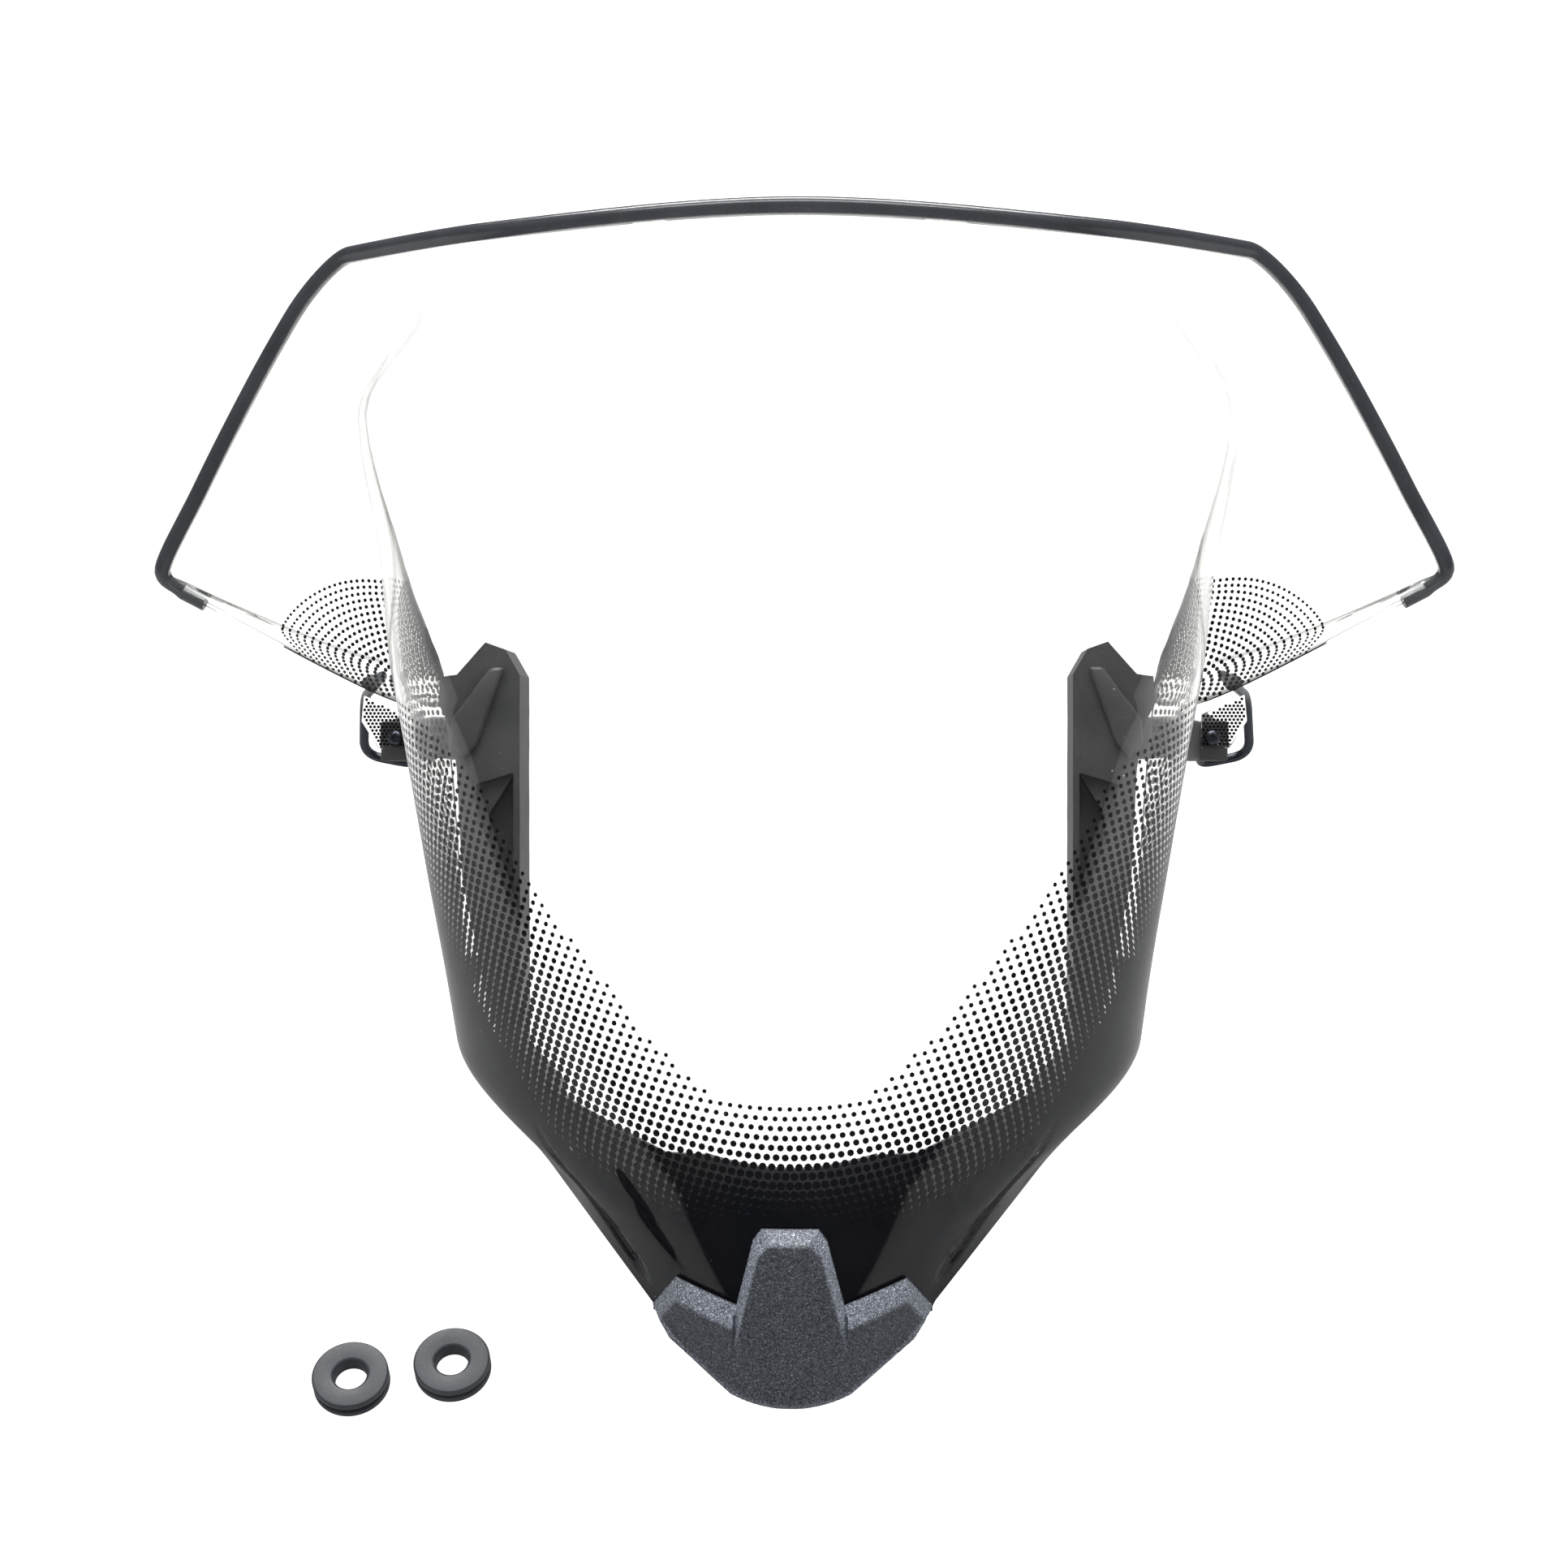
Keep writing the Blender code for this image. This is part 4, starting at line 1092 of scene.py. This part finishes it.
ARM_FRONT = 0.103
ARM_BACK = 0.146
ARM_OUTLINE = [
    (0.118, 0.1232), (0.1378, 0.1232), (0.160, 0.172), (0.172, 0.212), (0.184, 0.270),
    (0.187, 0.330), (0.190, 0.352), (0.197, 0.366), (0.196, 0.381), (0.187, 0.382),
    (0.171, 0.400), (0.160, 0.396), (0.152, 0.382), (0.152, 0.176), (0.130, 0.152),
]
POCKET_OUTLINE = [(0.1555, 0.328), (0.176, 0.322), (0.176, 0.300), (0.163, 0.282), (0.1555, 0.250)]
POCKET_CREASE = [(0.1555, 0.328), (0.1700, 0.3050), (0.1700, 0.2900), (0.1555, 0.2500)]
POCKET_STEP = 0.006
POCKET_DEPTH = 0.016
BLADE_OUTLINE = [
    (0.160, 0.386), (0.168, 0.386), (0.189, 0.358), (0.190, 0.344), (0.183, 0.335), (0.175, 0.344),
]
BLADE_T = 0.005
FOOT_BACK = 0.126
FOOT_TOP = 0.154
FOOT_CUT = [(0.10, 0.10), (0.18, 0.10), (0.18, FOOT_TOP), (0.10, FOOT_TOP)]


def prism_mesh(outline, sign, low, high, name):
    return mesh_of(prism_form(mirrored_outline(outline, sign), low, high), name)


def build_arm(side, sign):
    """One arm: a moulded upright with a stepped pocket, rounded edges and a raised blade."""
    name = f"yoke_arm_{side}"
    obj = working(name, prism_mesh(ARM_OUTLINE, sign, ARM_FRONT, ARM_BACK, name))
    ahead = ARM_FRONT - 0.02
    cut(obj, prism_mesh(POCKET_OUTLINE, sign, ahead, ARM_FRONT + POCKET_STEP, "pocket"))
    cut(obj, prism_mesh(POCKET_CREASE, sign, ahead, ARM_FRONT + POCKET_DEPTH, "crease"))
    cut(obj, prism_mesh(FOOT_CUT, sign, FOOT_BACK, FOOT_BACK + 0.1, "foot"))
    rounded(obj, 0.0016, 3, 25)
    frame_piece(obj, f"frame_arm_{side}")
    name = f"yoke_blade_{side}"
    obj = working(name, prism_mesh(BLADE_OUTLINE, sign, ARM_FRONT - GAP - BLADE_T, ARM_FRONT, name))
    rounded(obj, 0.0022, 3, 30)
    frame_piece(obj, f"arm_blade_{side}")


BRACKET_UP = (0.336, 0.360)
BRACKET_OUTLINE = [
    (0.156, 0.1463), (0.186, 0.1463), (0.193, 0.176), (0.218, 0.182), (0.238, 0.245),
    (0.238, 0.2645), (0.2575, 0.2645), (0.2575, 0.312), (0.238, 0.312), (0.198, 0.212),
    (0.177, 0.163), (0.156, 0.163),
]


def build_bracket(side, sign):
    """The bent bracket from the arm out to the tab, drawn along the face."""
    name = f"stay_arm_{side}"
    lower, upper = [[at(sign * x, up, depth) for x, depth in BRACKET_OUTLINE] for up in BRACKET_UP]
    obj = working(name, mesh_of(solid_between(lower, upper), name))
    rounded(obj, 0.0018, 3, 25)
    frame_piece(obj, f"stay_bracket_{side}")


# The wire stays, their clips and the dotted tabs

WIRE_R = 0.003
WIRE_ROUTE = [
    (0.2500, 0.3420, 0.3125), (0.2475, 0.3343, 0.3365), (0.2795, 0.3405, 0.3310),
    (0.2735, 0.3760, 0.3000),
]
CLIP_PLACE = (ROOT + 0.10, 1.52)
CLIP_T = 0.006
CLIP_R = 0.0050
CLIP_RUN = 0.010
BEND_R = 0.012


def rounded_route(points, radius):
    """The route with each corner replaced by a smooth bend."""
    route = [points[0]]
    for before, corner, after in zip(points, points[1:], points[2:]):
        back = (before - corner).normalized()
        ahead = (after - corner).normalized()
        reach = min(radius, (before - corner).length * 0.45, (after - corner).length * 0.45)
        start = corner + back * reach
        end = corner + ahead * reach
        for k in range(13):
            f = k / 12
            route.append(start.lerp(corner, f).lerp(corner.lerp(end, f), f))
    return route + [points[-1]]


def tube_mesh(name, route, radius, sides=24):
    """A closed round tube along the route."""
    form = bmesh.new()
    rings = []
    normal = (route[1] - route[0]).orthogonal().normalized()
    for k, place in enumerate(route):
        ahead = (route[min(k + 1, len(route) - 1)] - route[max(k - 1, 0)]).normalized()
        normal = (normal - ahead * normal.dot(ahead)).normalized()
        other = ahead.cross(normal)
        turn = [2 * math.pi * i / sides for i in range(sides)]
        spokes = [(normal * math.cos(a) + other * math.sin(a)) * radius for a in turn]
        rings.append([form.verts.new(place + spoke) for spoke in spokes])
    for a, b in zip(rings, rings[1:]):
        join_rings(form, a, b)
    form.faces.new(rings[0][::-1])
    form.faces.new(rings[-1])
    bmesh.ops.recalc_face_normals(form, faces=form.faces)
    return mesh_of(form, name)


def build_stay(side, sign):
    """The bent wire from the rivet to the wing, and the round clip that it ends on."""
    places, normals = surface([CLIP_PLACE[0]], [CLIP_PLACE[1] * sign])
    normal = Vector(normals[0])
    clip_foot = Vector(places[0]) - normal * (SHEET_T + 2 * GAP)
    clip_end = clip_foot - normal * CLIP_T
    profile = [(0, CLIP_T), (CLIP_R * 0.45, CLIP_T)]
    profile += arc_points((CLIP_R * 0.5, CLIP_T * 0.5), CLIP_T * 0.5, 80, 0, 6)
    profile = [(min(radius, CLIP_R), height) for radius, height in profile]
    profile += [(CLIP_R, CLIP_T * 0.3), (CLIP_R, 0), (0, 0)]
    mesh = turned_mesh("lip_clip", profile, clip_foot, -normal)
    piece(f"lip_clip_{side}", mesh, FRAME_PLASTIC, replaces=[f"wing_clip_{side}"])
    route = [at(x * sign, up, depth) for x, up, depth in WIRE_ROUTE]
    # The wire starts just clear of the bracket's end.
    route[0] = at(WIRE_ROUTE[0][0] * sign, WIRE_ROUTE[0][1], WIRE_ROUTE[0][2] + 0.0004)
    route += [clip_end - normal * CLIP_RUN, clip_end - normal * GAP]
    mesh = tube_mesh("stay_wire", rounded_route(route, BEND_R), WIRE_R)
    wire = f"wire_stay_{side}"
    piece(f"stay_wire_{side}", mesh, WIRE_STEEL, replaces=[wire], smooth=50)


TAB_OUTLINE = [(0.241, 0.364), (0.267, 0.376), (0.2685, 0.360), (0.258, 0.3435), (0.241, 0.3435)]
TAB_DEPTH = 0.2605
TAB_PITCH = 0.0024
TAB_DOT = 0.00095
TAB_MARGIN = 0.0014


def inside(outline, x, up, margin):
    """Whether (x, up) is inside the outline by at least the margin."""
    crossings = 0
    for (x0, up0), (x1, up1) in zip(outline, outline[1:] + outline[:1]):
        if (up0 > up) != (up1 > up) and x < x0 + (up - up0) * (x1 - x0) / (up1 - up0):
            crossings += 1
    edges = list(zip(outline, outline[1:] + outline[:1]))
    return crossings % 2 == 1 and away_from(edges, x, up) > margin


def build_tab(side, sign):
    """The small clear tab that the rivet holds, with its dots on the front."""
    name = f"clear_tab_{side}"
    obj = working(name, prism_mesh(TAB_OUTLINE, sign, TAB_DEPTH, TAB_DEPTH + SHEET_T, name))
    rounded(obj, 0.0006, 2, 30)
    piece(name, settled(obj, name), CLEAR, replaces=[f"side_tab_{side}"])
    places = []
    for j in range(20):
        for i in range(20):
            x = 0.240 + (i + 0.5 * (j % 2)) * TAB_PITCH
            up = 0.342 + j * TAB_PITCH * math.sin(math.pi / 3)
            if inside(TAB_OUTLINE, x, up, TAB_MARGIN):
                places.append(at(x * sign, up, TAB_DEPTH - FILM_GAP))
    facing = world_direction([(0, 0, -1)] * len(places))
    build_dots(f"tab_dots_{side}", places, facing, [TAB_DOT] * len(places), sides=8)


# Screws, bushes, pads and grommets


def screw_mesh(name, place, axis, length, head=0.0055):
    """A pan-head screw with a round socket and a threaded shank."""
    profile = [(0, 0.0012), (head * 0.34, 0.0012), (head * 0.36, 0.0031), (head * 0.55, 0.0031)]
    profile += [(head * 0.80, 0.0026), (head * 0.95, 0.0016), (head, 0.0004), (head * 0.99, 0), (0.0024, 0)]
    turns = 14
    for k in range(turns):
        z = -0.002 - (length - 0.004) * k / turns
        profile += [(0.0024, z), (0.0020, z - (length - 0.004) / turns * 0.5)]
    profile += [(0.0022, -length + 0.0012), (0.0012, -length), (0, -length)]
    return turned_mesh(name, profile, place, axis, 24)


BEHIND = Vector(world_direction([(0, 0, 1)])[0])
# Each screw's name, its seat (x, up, depth), which way along the depth its head faces, its
# length and its head's radius.
SCREWS = [
    ("nose_screw", (0.020, 0.036, 0.029 + GAP), 1, 0.027, 0.0055),
    ("arm_screw", (0.136, 0.138, FOOT_BACK + GAP), 1, 0.040, 0.0055),
    ("bracket_screw", (0.170, 0.348, 0.163 + GAP), 1, 0.026, 0.0055),
    ("tab_rivet", (0.2475, 0.350, TAB_DEPTH - GAP), -1, 0.020, 0.0045),
]


def build_screws(side, sign):
    for stem, (x, up, depth), facing, length, head in SCREWS:
        node = f"{stem}_{side}"
        mesh = screw_mesh(node, at(x * sign, up, depth), BEHIND * facing, length, head)
        finish = WIRE_STEEL if stem == "tab_rivet" else ZINC
        piece(f"{node}_detail", mesh, finish, replaces=[node])


BUSH_PLACE = (0.020, 0.036, 0.024 - GAP)
BUSH_R = 0.0065
BUSH_HOLE = 0.0028
BUSH_LENGTH = 0.010


def build_bushes(side, sign):
    """The grooved rubber bush round the nose screw."""
    x, up, depth = BUSH_PLACE
    outer, hole, length = BUSH_R, BUSH_HOLE, BUSH_LENGTH
    profile = [(hole, 0.0006), (hole + 0.0006, 0), (outer - 0.0006, 0), (outer, 0.0006), (outer, 0.0030)]
    profile += [(outer - 0.0008, 0.0036), (outer - 0.0008, 0.0064), (outer, 0.0070), (outer, length - 0.0006)]
    profile += [(outer - 0.0006, length), (hole + 0.0006, length), (hole, length - 0.0006)]
    mesh = turned_mesh("bush", profile, at(x * sign, up, depth), -BEHIND)
    node = f"nose_bush_{side}"
    piece(f"{node}_detail", mesh, BLACK_RUBBER, replaces=[node])


# Each grommet's name, its x and how far it lies behind the nose, and its body.
GROMMETS = [
    ("grommet_1", -0.229, 0.017, "loose_grommet_1"),
    ("grommet_2", -0.177, 0.026, "loose_grommet_2"),
]
GROMMET_R = 0.020
GROMMET_HOLE = 0.0085
GROMMET_HEIGHT = 0.010
GROMMET_GROOVE = 0.0150


def build_grommet(node, x, y, body):
    """A loose rubber grommet: two flanges, a groove between, and a rounded hole."""
    outer, hole, height, groove = GROMMET_R, GROMMET_HOLE, GROMMET_HEIGHT, GROMMET_GROOVE
    flange = height * 0.36
    soft = 0.0013
    profile = arc_points((hole + 0.0022, height - 0.0022), 0.0022, 180, 90, 7)
    profile += arc_points((outer - soft, height - soft), soft, 90, 0, 7)
    profile += arc_points((outer - 0.0005, height - flange + 0.0005), 0.0005, 0, -90, 4)
    profile += [(groove + 0.0006, height - flange), (groove, height - flange - 0.0006)]
    profile += [(groove, flange + 0.0006), (groove + 0.0006, flange)]
    profile += arc_points((outer - 0.0005, flange - 0.0005), 0.0005, 90, 0, 4)
    profile += arc_points((outer - soft, soft), soft, 0, -90, 7)
    profile += arc_points((hole + 0.0022, 0.0022), 0.0022, -90, -180, 7)
    mesh = turned_mesh(f"{node}_moulded", profile, Vector((x, y - NOSE_AHEAD, 0)), (0, 0, 1), 72)
    piece(f"{node}_moulded", mesh, SOFT_RUBBER, body=body, replaces=[node])


def finish_cad_nodes():
    """The CAD nodes that stay in view get the finishes too."""
    for name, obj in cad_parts.items():
        finish = BLACK_RUBBER if name.startswith("wall_pad") else FRAME_PLASTIC
        for slot in obj.material_slots:
            slot.material = finish


# The stage


# The floor's own light, as it falls on the pieces, as it is seen through the clear sheet, and
# as it is seen directly.
FLOOR_GLOW = 0.02
FLOOR_THROUGH = 0.76
FLOOR_SEEN = 1.0


FLOOR_REACH = 9.0


def build_stage():
    """A pale floor whose own light keeps it white to the eye but weak in reflections."""
    mesh = bpy.data.meshes.new("floor")
    corners = [(x * FLOOR_REACH, y * FLOOR_REACH, 0) for x, y in ((-1, -1), (1, -1), (1, 1), (-1, 1))]
    mesh.from_pydata(corners, [], [(0, 1, 2, 3)])
    floor = working("floor", mesh)
    floor.location.z = -0.0002
    material = bpy.data.materials.new("floor")
    material.use_nodes = True
    shader = material.node_tree.nodes["Principled BSDF"]
    shader.inputs["Base Color"].default_value = (0.35, 0.35, 0.35, 1)
    shader.inputs["Roughness"].default_value = 0.9
    shader.inputs["Specular IOR Level"].default_value = 0.1
    shader.inputs["Emission Color"].default_value = (1, 1, 1, 1)
    n = Nodes(material.node_tree)
    path = n.add("ShaderNodeLightPath").outputs
    through = n.math("MULTIPLY", path["Is Transmission Ray"], FLOOR_THROUGH - FLOOR_GLOW)
    seen = n.math("MULTIPLY", path["Is Camera Ray"], FLOOR_SEEN - FLOOR_GLOW)
    n.feed(shader, {"Emission Strength": n.math("ADD", n.math("ADD", FLOOR_GLOW, through), seen)})
    mesh.materials.append(material)


def build_world():
    """Dark studio surroundings, a little lighter overhead."""
    world = bpy.data.worlds.new("studio")
    world.use_nodes = True
    bpy.context.scene.world = world
    n = Nodes(world.node_tree)
    back = world.node_tree.nodes["Background"]
    direction = n.add("ShaderNodeTexCoord").outputs["Generated"]
    height = n.add("ShaderNodeSeparateXYZ", inputs={0: direction}).outputs[2]
    tone = n.add("ShaderNodeValToRGB", inputs={0: height})
    tone.color_ramp.elements[0].position = 0.02
    tone.color_ramp.elements[0].color = (0.10, 0.105, 0.12, 1)
    tone.color_ramp.elements[1].position = 0.45
    tone.color_ramp.elements[1].color = (0.16, 0.17, 0.19, 1)
    n.tree.links.new(tone.outputs[0], back.inputs["Color"])
    back.inputs["Strength"].default_value = 0.6


def area_light(name, place, target, size, energy, mirrored=True):
    """A soft light. One that isn't mirrored lights the pieces but shows in no reflection."""
    light = bpy.data.lights.new(name, "AREA")
    light.shape = "RECTANGLE"
    light.size, light.size_y = size
    light.energy = energy
    obj = bpy.data.objects.new(name, light)
    obj.visible_glossy = mirrored
    obj.visible_transmission = mirrored
    obj.location = place
    obj.rotation_euler = (Vector(target) - Vector(place)).to_track_quat("-Z", "Y").to_euler()
    bpy.context.scene.collection.objects.link(obj)


def build_lights():
    """Three fill lights, and two softboxes that show in the sheet."""
    middle = (0, 0, 0.15)
    for side, sign in SIDES:
        area_light(f"fill_{side}", (2.2 * sign, -0.6, 1.7), middle, (1.6, 2.0), 30, mirrored=False)
    area_light("fill_front", (0, -2.2, 2.2), middle, (1.6, 1.6), 24, mirrored=False)
    area_light("softbox_top", (0, 0.3, 2.6), (0, 0.1, 0.3), (3.0, 0.4), 34)
    area_light("softbox_back", (0, 2.2, 2.2), middle, (3.2, 0.9), 110)


def build_camera():
    """Looks down at 45 degrees, turned a little about the camera's own upright."""
    yaw = math.radians(1.7)
    across = Vector((math.cos(yaw), math.sin(yaw) * K, -math.sin(yaw) * K))
    ahead = Vector((-math.sin(yaw), math.cos(yaw) * K, -math.cos(yaw) * K))
    upright = across.cross(ahead)
    turn = Matrix((across, upright, -ahead)).transposed()
    camera = bpy.data.cameras.new("camera")
    camera.lens = 64.8
    camera.sensor_width = 36
    obj = bpy.data.objects.new("camera", camera)
    obj.matrix_world = Matrix.Translation((0.0397, -1.0643, 1.2570)) @ turn.to_4x4()
    bpy.context.scene.collection.objects.link(obj)
    bpy.context.scene.camera = obj


DOTS_TREE = dots_tree()
build_camera()
build_stage()
build_world()
build_lights()
build_sheet()
build_print()
build_all_dots()
build_trim()
build_cap()
build_bridge()
for side_name, side_sign in SIDES:
    build_arm(side_name, side_sign)
    build_bracket(side_name, side_sign)
    build_stay(side_name, side_sign)
    build_tab(side_name, side_sign)
    build_screws(side_name, side_sign)
    build_bushes(side_name, side_sign)
for grommet in GROMMETS:
    build_grommet(*grommet)
finish_cad_nodes()
bpy.context.scene.view_settings.view_transform = "Standard"

bpy.context.view_layer.update()
